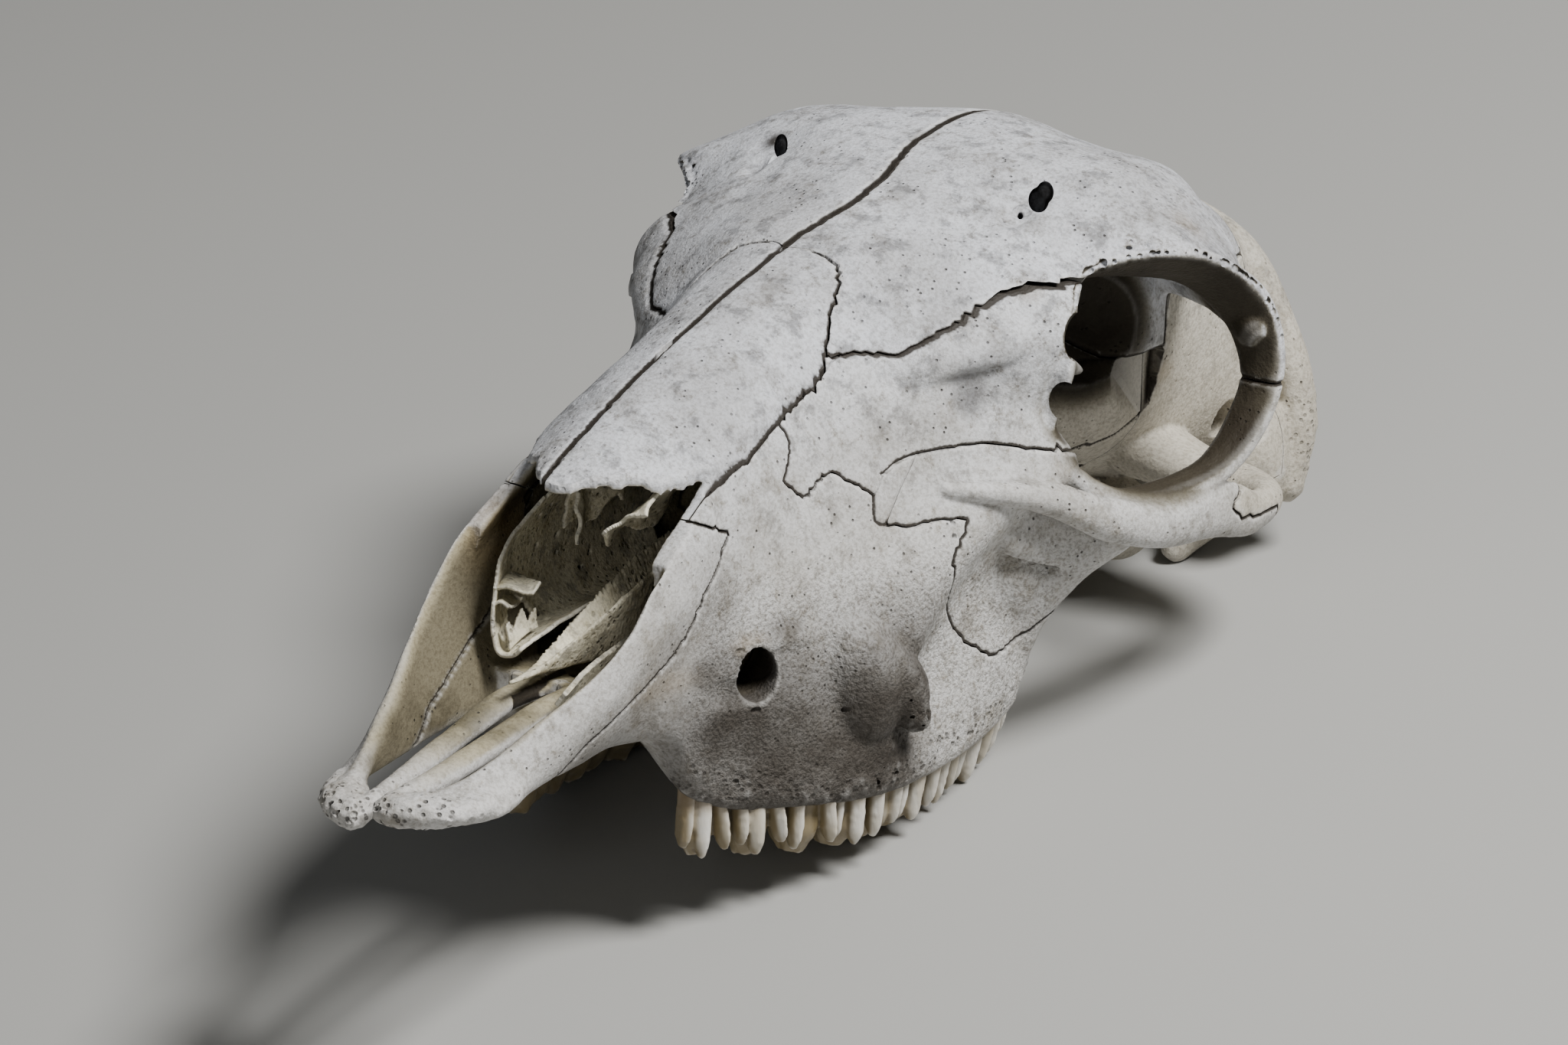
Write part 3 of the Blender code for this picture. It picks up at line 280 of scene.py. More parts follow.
def curveAt(knots, places):  # smooth curve through rows of place, values
    knots = np.array(knots, float)
    at, values = knots[:, 0], knots[:, 1:]
    slopes = np.gradient(values, at, axis=0)
    places = np.clip(np.asarray(places, float), at[0], at[-1])
    i = np.clip(np.searchsorted(at, places, side="right") - 1, 0, len(at) - 2)
    step = (at[i + 1] - at[i])[:, None]
    t = (places - at[i])[:, None] / step
    return (
        (1 + 2 * t) * (1 - t) ** 2 * values[i] + t * (1 - t) ** 2 * step * slopes[i]
        + t * t * (3 - 2 * t) * values[i + 1] + t * t * (t - 1) * step * slopes[i + 1]
    )


def lengthsAlong(path):
    return np.concatenate([[0], np.cumsum(np.linalg.norm(np.diff(path, axis=0), axis=1))])


def ringThrough(points, per):  # closed smooth ring, per steps from point to point
    points = np.array(points, float)
    before = np.roll(points, 1, axis=0)
    after = np.roll(points, -1, axis=0)
    later = np.roll(points, -2, axis=0)
    t = (np.arange(per) / per)[:, None, None]
    ring = 0.5 * (
        2 * points + (after - before) * t + (2 * before - 5 * points + 4 * after - later) * t**2
        + (3 * points - before - 3 * after + later) * t**3
    )
    return ring.transpose(1, 0, 2).reshape(-1, points.shape[1])


def skin(rings, closed=False):  # points and faces stretched over rings, ends filled
    count = len(rings[0])
    points = np.concatenate(rings)
    faces = []
    for i in range(len(rings) if closed else len(rings) - 1):
        a, b = i * count, (i + 1) % len(rings) * count
        for j in range(count):
            k = (j + 1) % count
            faces.append((a + j, a + k, b + k, b + j))
    if not closed:
        first = len(points)
        points = np.concatenate([points, [np.mean(rings[0], axis=0), np.mean(rings[-1], axis=0)]])
        last = (len(rings) - 1) * count
        for j in range(count):
            k = (j + 1) % count
            faces.append((first, k, j))
            faces.append((first + 1, last + j, last + k))
    return points, faces


def railForm(rails, ends, step=1.5, per=7):  # lofted over both sides, rails named from the top down
    places = np.linspace(ends[0], ends[1], max(2, round((ends[1] - ends[0]) / step)) + 1)
    read = [curveAt(rows, places) for rows in rails.values()]
    rings = []
    for i, y in enumerate(places):
        half = [(r[i][0], r[i][1]) for r in read]
        ring = ringThrough(half + [(-x, z) for x, z in half[-2:0:-1]], per)
        rings.append(np.column_stack([ring[:, 0], np.full(len(ring), y), ring[:, 1]]))
    return skin(rings)


def slabForm(top, depth, step=1.5, per=5):  # a plate over both sides, rails from the middle out
    low = max(rows[0][0] for rows in top.values())
    high = min(rows[-1][0] for rows in top.values())
    places = np.linspace(low, high, round((high - low) / step) + 1)
    read = {name: curveAt(rows, places) for name, rows in top.items()}
    rings = []
    for i, y in enumerate(places):
        upper = [tuple(read[name][i]) for name in top]
        lower = [(read[name][i][0] * 0.97, read[name][i][1] - depth[name]) for name in top]
        half = upper + lower[::-1]
        ring = ringThrough(half + [(-x, z) for x, z in half[::-1] if x > 0], per)
        rings.append(np.column_stack([ring[:, 0], np.full(len(ring), y), ring[:, 1]]))
    return skin(rings)


def sideForm(rails, ends, step=1.5, per=5):  # on the left side, rails going round it
    places = np.linspace(ends[0], ends[1], round((ends[1] - ends[0]) / step) + 1)
    read = [curveAt(rows, places) for rows in rails.values()]
    rings = []
    for i, y in enumerate(places):
        ring = ringThrough([tuple(r[i]) for r in read], per)
        rings.append(np.column_stack([ring[:, 0], np.full(len(ring), y), ring[:, 1]]))
    return skin(rings)


def tube(path, sizes, up=(0, 0, 1), sides=20, per=10, closed=False):  # sizes: half width, half height
    path, sizes = np.array(path, float), np.array(sizes, float)
    if closed:
        line, half = ringThrough(path, per), ringThrough(sizes, per)
    else:
        at = lengthsAlong(path)
        places = np.linspace(0, at[-1], per * (len(path) - 1) + 1)
        line = curveAt(np.column_stack([at, path]), places)
        half = np.maximum(curveAt(np.column_stack([at, sizes]), places), 0.25)
    rings = []
    turn = np.arange(sides) * 2 * math.pi / sides
    for i, centre in enumerate(line):
        if closed:
            along = line[(i + 1) % len(line)] - line[i - 1]
        else:
            along = line[min(i + 1, len(line) - 1)] - line[max(i - 1, 0)]
        along = along / np.linalg.norm(along)
        side = np.cross(up, along)
        side = side / np.linalg.norm(side)
        rise = np.cross(along, side)
        wide, high = half[i]
        ring = centre + np.outer(np.cos(turn) * wide, side) + np.outer(np.sin(turn) * high, rise)
        rings.append(ring)
        if not closed and i == 0:
            rings.insert(0, centre + (ring - centre) * 0.55 - along * half[i].min() * 0.7)
        if not closed and i == len(line) - 1:
            rings.append(centre + (ring - centre) * 0.55 + along * half[i].min() * 0.7)
    return skin(rings, closed)


def blob(centre, radii, turnX=0.0, turnY=0.0, turnZ=0.0, rings=18, sides=28):
    a = (math.pi * np.arange(1, rings) / rings)[:, None]
    b = (2 * math.pi * np.arange(sides) / sides)[None, :]
    points = np.stack([np.sin(a) * np.cos(b), np.sin(a) * np.sin(b), np.cos(a) * np.ones_like(b)], axis=-1)
    turn = (
        Matrix.Rotation(math.radians(turnZ), 3, "Z") @ Matrix.Rotation(math.radians(turnY), 3, "Y")
        @ Matrix.Rotation(math.radians(turnX), 3, "X")
    )
    points = (points.reshape(-1, 3) * radii) @ np.array(turn).T + centre
    return skin(list(points.reshape(rings - 1, sides, 3)))


def prism(outline, axis, low, high):  # the outline drawn out along the axis
    outline = np.array(outline, float)
    rings = []
    for level in (low, high):
        column = np.full(len(outline), float(level))
        if axis == "x":
            rings.append(np.column_stack([column, outline[:, 0], outline[:, 1]]))
        else:
            rings.append(np.column_stack([outline[:, 0], outline[:, 1], column]))
    count = len(outline)
    faces = [(j, (j + 1) % count, (j + 1) % count + count, j + count) for j in range(count)]
    faces.append(tuple(range(count))[::-1])
    faces.append(tuple(range(count, 2 * count)))
    return np.concatenate(rings), faces


def mirrored(form):
    points, faces = form
    return points * (-1, 1, 1), [face[::-1] for face in faces]


def both(forms):
    return forms + [mirrored(form) for form in forms]


def made(name, forms):  # one mesh of the forms, faces turned outwards
    shape = bmesh.new()
    for points, faces in forms:
        corners = [shape.verts.new(Vector(p) * mm) for p in points]
        sides = [shape.faces.new([corners[i] for i in face]) for face in faces]
        bmesh.ops.recalc_face_normals(shape, faces=sides)
    mesh = bpy.data.meshes.new(name)
    shape.to_mesh(mesh)
    shape.free()
    obj = bpy.data.objects.new(name, mesh)
    bpy.context.collection.objects.link(obj)
    return obj


def choose(obj):  # the only selected and active object
    bpy.ops.object.select_all(action="DESELECT")
    obj.select_set(True)
    bpy.context.view_layer.objects.active = obj


def applyAll(obj):
    choose(obj)
    for modifier in list(obj.modifiers):
        bpy.ops.object.modifier_apply(modifier=modifier.name)


def grownTogether(obj, voxel, passes):
    remesh = obj.modifiers.new("oneSkin", "REMESH")
    remesh.mode = "VOXEL"
    remesh.voxel_size = voxel * mm
    if passes:
        soften = obj.modifiers.new("soften", "SMOOTH")
        soften.factor = 0.5
        soften.iterations = passes
    applyAll(obj)


def cutBy(obj, cutter, operation="DIFFERENCE", solver="MANIFOLD"):  # the cutter is used up
    boolean = obj.modifiers.new("cut", "BOOLEAN")
    boolean.operation = operation
    boolean.object = cutter
    boolean.solver = solver
    applyAll(obj)
    bpy.data.objects.remove(cutter)


def pointsOf(obj):
    count = len(obj.data.vertices)
    points = np.empty(count * 3)
    obj.data.vertices.foreach_get("co", points)
    return points.reshape(-1, 3) / mm


def normalsOf(obj):
    normals = np.empty(len(obj.data.vertices) * 3)
    obj.data.vertex_normals.foreach_get("vector", normals)
    return normals.reshape(-1, 3)


def movePoints(obj, points):
    obj.data.vertices.foreach_set("co", (points * mm).ravel())
    obj.data.update()


def latticeValue(cell, seed):
    h = (cell[:, 0] * 73856093) ^ (cell[:, 1] * 19349663) ^ (cell[:, 2] * 83492791) ^ (seed * 2654435)
    h = (h ^ (h >> 13)) * 1274126177
    return ((h ^ (h >> 16)) & 0xFFFF) / 32767.5 - 1


def noiseAt(points, size, seed):  # smooth noise from -1 to 1, bumps about size across
    q = points / size + seed * 7.31
    cell = np.floor(q).astype(np.int64)
    t = q - cell
    t = t * t * (3 - 2 * t)
    total = np.zeros(len(points))
    for dx in (0, 1):
        for dy in (0, 1):
            for dz in (0, 1):
                weight = (
                    (t[:, 0] if dx else 1 - t[:, 0]) * (t[:, 1] if dy else 1 - t[:, 1])
                    * (t[:, 2] if dz else 1 - t[:, 2])
                )
                total += weight * latticeValue(cell + (dx, dy, dz), seed)
    return total


def pitsAt(points, size, seed, chance=1.0):  # distance to the nearest scattered pit, in parts of size
    q = points / size
    cell = np.floor(q).astype(np.int64)
    best = np.full(len(points), 9.0)
    for dx in (-1, 0, 1):
        for dy in (-1, 0, 1):
            for dz in (-1, 0, 1):
                near = cell + (dx, dy, dz)
                spot = np.column_stack([latticeValue(near, seed + k) * 0.45 + 0.5 for k in (1, 2, 3)])
                away = np.linalg.norm(near + spot - q, axis=1)
                away[latticeValue(near, seed + 4) > 2 * chance - 1] = 9.0
                best = np.minimum(best, away)
    return best


def rise(low, high, values):  # 0 below low, 1 above high, smooth between
    t = np.clip((values - low) / (high - low), 0, 1)
    return t * t * (3 - 2 * t)


def folded(points):  # x, y and z with the right side laid over the left
    return np.abs(points[:, 0]), points[:, 1], points[:, 2]


def near(points, spot, reach):  # 1 at the spot, fading to 0 at reach; both sides alike
    away = np.linalg.norm((np.column_stack(folded(points)) - spot) / reach, axis=1)
    return 1 - rise(0.2, 1, away)


def faceMass():
    forms = [railForm(faceRails, skull["faceEnds"]), slabForm(frontalTop, frontalDepth)]
    ridge = ((33.0, 107, 37.5), (34.8, 108.8, 31.5), (36.4, 110.4, 25.5), (38.8, 112, 20.2))
    buttress = (
        (33, 147, 18), (33.5, 149, 24), (35, 150.5, 30), (38.5, 152, 36), (44, 154, 42), (50, 157, 47),
    )
    return forms + both([
        tube(ridge, ((2.4, 0.5), (4.4, 2.6), (4.6, 4.3), (2.6, 2.7))),
        tube(buttress, ((4, 4), (4, 4.5), (4, 5), (4, 5), (3.4, 4.5), (3, 4)), up=(0, 1, 0)),
        blob((31.2, 103.6, 27), (7.9, 8.6, 12.5), turnX=18),
        blob((27, 148, 40), (14, 12, 13)),
        blob((28.5, 147, 24.5), (9, 11, 11)),
    ])


def braincaseMass():
    forms = [railForm(braincaseRails, skull["braincaseEnds"]), blob((0, 203, 74), (31, 34, 27))]
    base = ((0, 138, 43), (0, 180, 43), (0, 210, 40), (0, 234, 41))
    forms.append(tube(base, ((6, 5), (8, 5.5), (11, 6), (9, 5))))
    forms.append(blob((0, 229.5, 66), (33, 7, 21), turnX=8))
    crest = (
        (39.5, 235, 40), (40.5, 237, 53), (36, 236, 68), (26.5, 233.5, 83), (13, 231.5, 88.8),
        (0, 230.5, 89.8),
    )
    forms += both([tube(crest, ((3.5, 4), (3, 4), (3, 4), (3, 4), (3, 4), (3.5, 4)), up=(0, 1, 0))])
    return forms


def skullBase():
    jugular = ((31, 231, 50), (28.5, 231, 38), (24.8, 228.5, 31), (22.8, 225.5, skull["jugularTip"]))
    plate = ((14, 132, 25), (12.5, 145, 28), (11, 158, 31), (10.5, 170, 36), (10, 180, 40))
    return both([
        blob((13.5, 236.5, 43), (8, 8, 10), turnY=-15),
        tube(jugular, ((3.5, 8), (3, 7), (2.5, 4.5), (2.2, 3))),
        blob((20, 209, 35), (6.5, 9, 7.5)),
        blob((36, 230, 46), (6, 9, 11)),
        tube(plate, ((2.2, 7), (2, 9), (2, 9), (2, 7), (2.5, 4))),
    ])


def cheekArch():
    arch = (
        (35, 122, 58), (40.5, 130, 57), (46, 140, 55), (51, 150, 51), (54.5, 162, 48.5), (57, 178, 49),
        (57.5, 190, 46.5), (55, 199, 46.8), (47, 205, 47), (36, 207, 47.5), (24, 208, 50),
    )
    sizes = (
        (1.2, 1.2), (2, 2), (2.8, 3), (3, 3.8), (2.8, 4.2), (2.6, 5), (2.6, 4), (3.4, 3.4), (6, 3.4),
        (8, 4), (9, 6),
    )
    root = ((31, 197, 88), (38, 195.5, 87.5), (46, 192.5, 85.5), (53, 188.5, 82.5), (57, 186.5, 79))
    web = ((39, 138, 49), (42.5, 145.5, 47.5), (45.5, 151, 46.5), (48, 156, 46.5))
    return both([
        tube(arch, sizes),
        tube(root, ((5, 7), (4.5, 6.5), (4, 5.5), (3.2, 4.5), (2.4, 3.5))),
        tube(web, ((2, 4.5), (2, 5.5), (2.2, 5.5), (2.4, 4))),
    ])


def orbitForms():  # a band round each socket, thin at its crest, with a small spur in front
    knots = np.array(orbitRim)
    crest, inner = ringThrough(knots[:, :3], 14), ringThrough(knots[:, 3:6], 14)
    thick = ringThrough(knots[:, 6:], 14)[:, 0]
    rings = []
    for i in range(len(crest)):
        across = inner[i] - crest[i]
        around = crest[(i + 1) % len(crest)] - crest[i - 1]
        out = np.cross(across, around)
        out *= thick[i] / np.linalg.norm(out)
        ring = []
        for along, share in ((0, 0.4), (0.1, 0.72), (0.5, 1.15), (0.9, 1.2), (1, 0.7)):
            ring.append(crest[i] + across * along + out * share)
        for along, share in ((1, 0.7), (0.9, 1.2), (0.5, 1.15), (0.1, 0.72), (0, 0.4)):
            ring.append(crest[i] + across * along - out * share)
        rings.append(np.array(ring))
    spur = ((42, 144.5, 77.4), (41.9, 149, 76.2), (41.8, 153.4, 74.9))
    return both([skin(rings, closed=True), tube(spur, ((1.8, 2.6), (1.3, 1.7), (0.7, 0.7)))])


def snoutForms():
    forms = [sideForm(wallRails, skull["wallEnds"])]
    body = ((2.8, 7.5, 18.5), (7, 9.5, 19), (12, 14.5, 19.3), (15, 19, 20))
    forms.append(tube(body, ((3, 2.6), (4.5, 3), (5, 2.6), (3, 2))))
    bar = ((3, 9, 19), (3.6, 20, 21), (4, 35, 24), (4.2, 50, 27), (4.2, 66, 28))
    forms.append(tube(bar, ((2.2, 2.4), (2.2, 2), (2.4, 1.8), (2.6, 1.8), (3, 2.2))))
    right = []
    for form in forms:
        points, faces = mirrored(form)
        share = np.clip((74 - points[:, 1]) / 40, 0, 1) + np.clip((24 - points[:, 1]) / 14, 0, 1)
        points[:, 0] *= 1 - (1 - skull["snoutLean"]) * share
        points[:, 2] -= skull["snoutSag"] * np.clip(1.2 - points[:, 1] / 40, 0, 1.2)
        right.append((points, faces))
    return forms + right


def nasalPlate():  # the free front ends of the nasal bones, their broken edges unlike on the two sides
    plate = made("nasalPlate", [slabForm(nasalTop, nasalDepth)])
    leftEdge = zigzag(zigzag(nasalFront[1:], 2.4, 0.8, 41), 0.8, 0.35, 43)
    rightEdge = zigzag(zigzag(nasalFront[1:], 2.2, 1.0, 42), 0.8, 0.35, 44)
    cleft = [(-1.7, 54.6), (-2.1, 60.5), (-2.9, 60), (-2.8, 55.4)]
    onRight = [(-x, y) for x, y in rightEdge[::-1] if x > 3.2]
    outline = leftEdge + [(22, 40), (-22, 40)] + onRight + cleft[::-1]
    cutBy(plate, made("front", [prism(outline, "z", 30, 100)]), solver="EXACT")
    return plate


def hollowForms():
    forms = [railForm(cavityRails, skull["cavityEnds"]), prism(aperture, "x", -40, 40)]
    socket = blob(eyeSocket["centre"], eyeSocket["radii"], turnZ=-eyeSocket["turn"], rings=40, sides=60)
    pit = blob((50.5, 130, 75), (15, 12, 7.5))
    underRidge = blob((55.5, 139, 43.5), (13, 15, 7), turnX=14)
    meatus = tube(((40, 223, 54), (31, 225, 53), (22, 226, 52)), ((3, 3.6), (2.8, 3.4), (2.4, 3)))
    passage = blob((30, 190, 44), (11, 8, 7.5), turnX=-20)
    infraorbital = tube(((33, 77.5, 30.5), (24, 81.5, 32), (10, 92, 35)), ((3.7, 4.4), (4.2, 4.6), (5, 4)))
    underTuber = blob((43.8, 109, 14.2), (7.6, 11, 4.4), turnX=8)
    trough = blob((29.6, 72.5, 29.5), (6.2, 9, 5.6), turnZ=-16)
    forms += both([socket, pit, underRidge, meatus, passage, infraorbital, trough, underTuber])
    choana = ((0, 118, 38), (0, 132, 33), (0, 146, 28), (0, 168, 25))
    forms.append(tube(choana, ((8, 6), (9, 8), (9.4, 9), (8.8, 10))))
    canal = ((0, 252, 52), (0, 238, 53), (0, 226, 58), (0, 215, 68))
    forms.append(tube(canal, ((9.5, 8.5), (9, 8), (10, 10), (10, 10))))
    forms.append(blob((0, 205, 76), (24, 26, 19)))
    return forms


def scattered(rng, path, spacing, spread, radii):  # small balls strung along a path, in parts of it
    path = np.array(path, float)
    at = lengthsAlong(path)
    forms, place = [], 0.0
    while place < at[-1]:
        centre = np.array([np.interp(place, at, path[:, k]) for k in range(3)])
        size = rng.uniform(*radii)
        centre = centre + rng.uniform(-1, 1, 3) * spread
        forms.append(blob(centre, (size, size * rng.uniform(1, 1.6), size), rings=6, sides=8))
        place += spacing * rng.uniform(0.5, 1.5)
    return forms


def deepHole(centre, ahead, behind, sizes):  # a round hole that leads inwards and back
    along = np.array(skull["holeRun"])
    path = [centre + along * reach for reach in (-ahead, 0, behind * 0.6, behind)]
    narrow = (sizes[0] * 0.8, sizes[1] * 0.8)
    return tube(path, (sizes, sizes, sizes, narrow))


def nickForms():  # small holes and nicks, cut at a finer grain than the rest
    rng = np.random.default_rng(7)
    rim = ringThrough(np.array(orbitRim)[:, :3], 8)
    forms = both([
        deepHole((44.9, 146, 82.4), 4, 6, (2.3, 4.2)), deepHole((43.2, 146, 71.0), 4, 6, (2.6, 3.2)),
    ])
    for side in (1, -1):
        turn = (side, 1, 1)
        upper = np.array([p for p in np.concatenate([rim[56:], rim[:10]]) if p[2] > 78]) * turn
        forms += scattered(rng, upper, 1.5, 0.3, (0.3, 0.95))
        forms += scattered(rng, upper + (-1.4 * side, -0.6, 1.2), 2.6, 1.6, (0.2, 0.45))
        band = ((36, 104, 22), (39, 109, 21), (40.4, 111.6, 18.6), (39.6, 109.6, 24), (38, 108, 28))
        forms += scattered(rng, np.array(band) * turn, 0.8, 1.3, (0.3, 0.55))
        gum = np.array([(row[1] + 0.6, row[0], row[2] + 1.2) for row in toothRow[1:8]]) * turn
        forms += scattered(rng, gum, 1.9, 1.1, (0.3, 0.7))
        tip = ((10, 8, 19), (6, 4.6, 17.5), (2, 5, 17), (7, 6, 16), (13, 10.5, 18), (15.5, 15, 19))
        forms += scattered(rng, np.array(tip) * turn, 1.0, 1.1, (0.35, 0.75))
        dots = ((31, 152, 62), (36, 150, 60), (33.8, 121.6, 50.4), (34.3, 121.9, 52.6), (30.6, 97, 24))
        for spot in np.array(dots) * turn:
            forms.append(blob(spot + (3 * side, 0, 0), (6, 0.5, 0.6), rings=8, sides=8))
    forms += [
        deepHole((27.3, 160.2, 101.4), 3, 10, (1.8, 2.3)), deepHole((28.0, 161.1, 102.8), 3, 9, (1.5, 2.0)),
        blob((26.9, 155.6, 100.0), (1.9, 2.6, 1.3), turnX=20),
        deepHole((26.8, 155.2, 99.2), 2, 5, (0.45, 0.6)),
        deepHole((-25.6, 160.4, 102.6), 3, 10, (1.2, 2.3)),
        blob((-25.0, 157.2, 101.8), (1.0, 3.6, 1.2), turnX=20, turnZ=9),
        blob((25.5, 76.2, 36.2), (1.2, 1.6, 0.9), rings=8, sides=10),
        blob((27.2, 79.5, 25.8), (1.4, 1.3, 0.8), rings=8, sides=10),
        blob((25.6, 74.6, 26.2), (1.2, 0.6, 0.6), rings=8, sides=10),
    ]
    return forms


def largestOnly(obj):
    shape = bmesh.new()
    shape.from_mesh(obj.data)
    seen, pieces = set(), []
    for face in shape.faces:
        if face in seen:
            continue
        island = [face]
        seen.add(face)
        for member in island:
            for edge in member.edges:
                for other in edge.link_faces:
                    if other not in seen:
                        seen.add(other)
                        island.append(other)
        pieces.append(island)
    if len(pieces) > 1:
        best = max(pieces, key=len)
        bmesh.ops.delete(shape, geom=list(seen - set(best)), context="FACES")
        shape.to_mesh(obj.data)
    shape.free()


def wholeSkull():
    body = made("skull", faceMass() + braincaseMass() + skullBase())
    grownTogether(body, skull["voxel"], 3)
    hollows = made("hollows", hollowForms())
    grownTogether(hollows, skull["voxel"], 2)
    cutBy(body, hollows)
    added = made("added", cheekArch() + orbitForms() + snoutForms())
    plate = nasalPlate()
    bpy.ops.object.select_all(action="DESELECT")
    for piece in (body, added, plate):
        piece.select_set(True)
    bpy.context.view_layer.objects.active = body
    bpy.ops.object.join()
    grownTogether(body, skull["voxel"], skull["smoothPasses"])
    return body


def sculpted(body):  # hand-like modelling of the surface, then its roughness
    points, normals = pointsOf(body), normalsOf(body)
    lift = 0.22 * noiseAt(points, 17, 1) + 0.14 * noiseAt(points, 7, 2) + 0.06 * noiseAt(points, 2.6, 3)
    for spot, reach, amount in skull["swells"]:
        lift += amount * near(points, spot, reach)
    stipple = stippleAt(points)
    lift += stipple * (0.07 * noiseAt(points, 1.1, 4) + 0.06 * noiseAt(points, 1.9, 8))
    rough = roughAt(points)
    spots = rough > 0.02
    some = points[spots]
    lift[spots] += rough[spots] * (
        0.26 * noiseAt(some, 1.5, 5) + 0.2 * noiseAt(some, 0.9, 6)
        - 0.6 * (1 - rise(0.12, 0.4, pitsAt(some, 1.7, 7, 0.55)))
    )
    lift -= skull["seamDepth"] * seamAt(points, normals, 0.75)
    movePoints(body, points + normals * lift[:, None])


def stippleAt(points):  # where the cheek's bone is finely grained
    x, y, z = folded(points)
    share = (1 - rise(38, 54, z)) * rise(62, 76, y) * (1 - rise(146, 158, y)) * rise(14, 20, x)
    return np.clip(0.12 + share, 0, 1)


def roughAt(points):  # where the bone is porous and broken
    x, y, z = folded(points)
    rough = 0.9 * (1 - rise(9, 18, y))
    rough = np.maximum(rough, near(points, (38.2, 112.2, 19.5), (7, 9, 8)))
    gum = curveAt(toothRow, y)
    margin = (1 - rise(1.2, 4.2, np.abs(z - gum[:, 1] - 0.6))) * rise(66, 72, y)
    margin = margin * (1 - rise(156, 162, y)) * rise(12, 16, x)
    rough = np.maximum(rough, 0.75 * margin)
    rough = np.maximum(rough, 0.9 * near(points, (31.4, 93.5, 12.5), (5, 6, 5)))
    rough = np.maximum(rough, 0.6 * near(points, (42, 158, 93), (5, 12, 4)))
    rough = np.maximum(rough, 0.7 * near(points, (40, 237, 50), (9, 8, 16)))
    return np.maximum(rough, 0.3 * (1 - rise(62, 68, y)) * rise(60, 64, z))


def zigzag(outline, pitch, height, seed):  # an open line made into a fine saw-like suture
    outline = np.array(outline, float)
    at = lengthsAlong(outline)
    count = max(2, round(at[-1] / pitch))
    rng = np.random.default_rng(seed)
    places = np.linspace(0, at[-1], count + 1)
    places[1:-1] += rng.uniform(-0.42, 0.42, count - 1) * pitch
    line = np.column_stack([np.interp(places, at, outline[:, k]) for k in (0, 1)])
    along = np.gradient(line, axis=0)
    along /= np.linalg.norm(along, axis=1)[:, None]
    across = np.column_stack([-along[:, 1], along[:, 0]])
    swing = np.where(np.arange(count + 1) % 2 == 0, 1, -1) * rng.uniform(-0.35, 1, count + 1) ** 3
    swing = swing * height * 1.5
    swing[[0, -1]] = 0
    return [tuple(p) for p in line + across * swing[:, None]]


def grownOutline(outline, by):  # moved outwards, by one distance or one for each point
    points = np.array(outline, float)
    before = points - np.roll(points, 1, axis=0)
    after = np.roll(points, -1, axis=0) - points
    area = np.sum(points[:, 0] * np.roll(points[:, 1], -1) - np.roll(points[:, 0], -1) * points[:, 1])
    turn = 1 if area > 0 else -1
    na = np.column_stack([before[:, 1], -before[:, 0]]) / np.linalg.norm(before, axis=1)[:, None] * turn
    nb = np.column_stack([after[:, 1], -after[:, 0]]) / np.linalg.norm(after, axis=1)[:, None] * turn
    middle = (na + nb) / np.maximum(np.linalg.norm(na + nb, axis=1), 0.2)[:, None]
    normals = middle / np.maximum(np.sum(middle * na, axis=1), 0.5)[:, None]
    return points + normals * np.reshape(by, (-1, 1))


def territories():  # each bone's room: prisms of an outline, their axis, from where to where, extra gap
    far = 90
    half = 0.15
    edges = sutureLines()
    premaxilla = [(-10, 12), premaxillaRear[0]] + edges["premaxilla"] + [(50, 62), (-10, 62)]
    lacrimal = edges["lacrimalFront"] + edges["lacrimalTop"] + edges["lacrimalFoot"]
    opened = [0.5 * float(rise(134, 143, p[0])) * (p[1] > 84) for p in lacrimal]
    zygomatic = edges["lacrimalFoot"][::-1] + edges["zygomaticRear"] + [(175, 38)] + edges["zygomaticFront"]
    frontal = edges["lacrimalTop"][1:] + list(frontalFoot) + [(100, 120), (100, 79)]
    middle = edges["middle"]
    nasal = [p for p in middle if p[1] < 123.5][::-1]
    nasal = nasal + [(nasal[-1][0], 50), (17.9, 50)] + edges["nasal"]
    parting = [
        0.2 + 0.5 * math.exp(-((y - 91.5) / 2.2) ** 2) if abs(x) < 4 and y < 123 else 0.05
        for x, y in nasal
    ]
    leftHalf = middle + [(far, middle[-1][1]), (far, 40), (middle[0][0], 40)]
    palatine = ((118, 0), (118, 33), (126, 36), (134, 36), (160, 36.5), (185, 38), (185, 20), (150, 8))
    occipital = ((217.8, 10), (217.8, 44), (222, 60), (222, 120), (270, 120), (270, 10))
    parietal = [(190, 120), (190, 86)] + edges["parietal"] + [(223, 92), (222, 120)]
    under = ((-10, 5), (61, 5), (61, 38), (-10, 38))
    return [
        ("premaxilla", True, [("x", premaxilla, 8, far, 0), ("x", under, half, 9, 0)], None),
        ("nasal", True, [("z", nasal, 55, 120, parting)], None),
        ("lacrimal", True, [("x", lacrimal, 18, far, opened)], None),
        ("zygomatic", True, [("x", zygomatic, 31, far, 0)], None),
        ("frontal", True, [("x", frontal, -8, far, 0)], ("z", leftHalf, 20, 130, 0.5)),
        ("palatine", True, [("x", palatine, half, 17, 0)], None),
        ("maxilla", True, [
            ("x", ((30, -10), (137, -10), (137, 95), (30, 95)), half, far, 0),
            ("x", ((130, -10), (165, -10), (165, 66), (130, 66)), 17, far, 0),
        ], None),
        ("parietal", False, [("x", parietal, -far, far, 0)], None),
        ("temporal", True, [
            ("x", ((170, 35), (170, 75), (199, 75), (199, 35)), 34, far, 0),
            ("x", (
                (197, 41), (195, 70), (198, 85), (215, 84), (227, 84), (230, 70), (229, 44), (218, 41),
            ), 18, far, 0),
            ("x", ((194, 20), (194, 47), (217.5, 47), (217.5, 20)), 13, far, 0),
        ], None),
        ("occipital", False, [("x", occipital, -far, far, 0)], None),
    ]


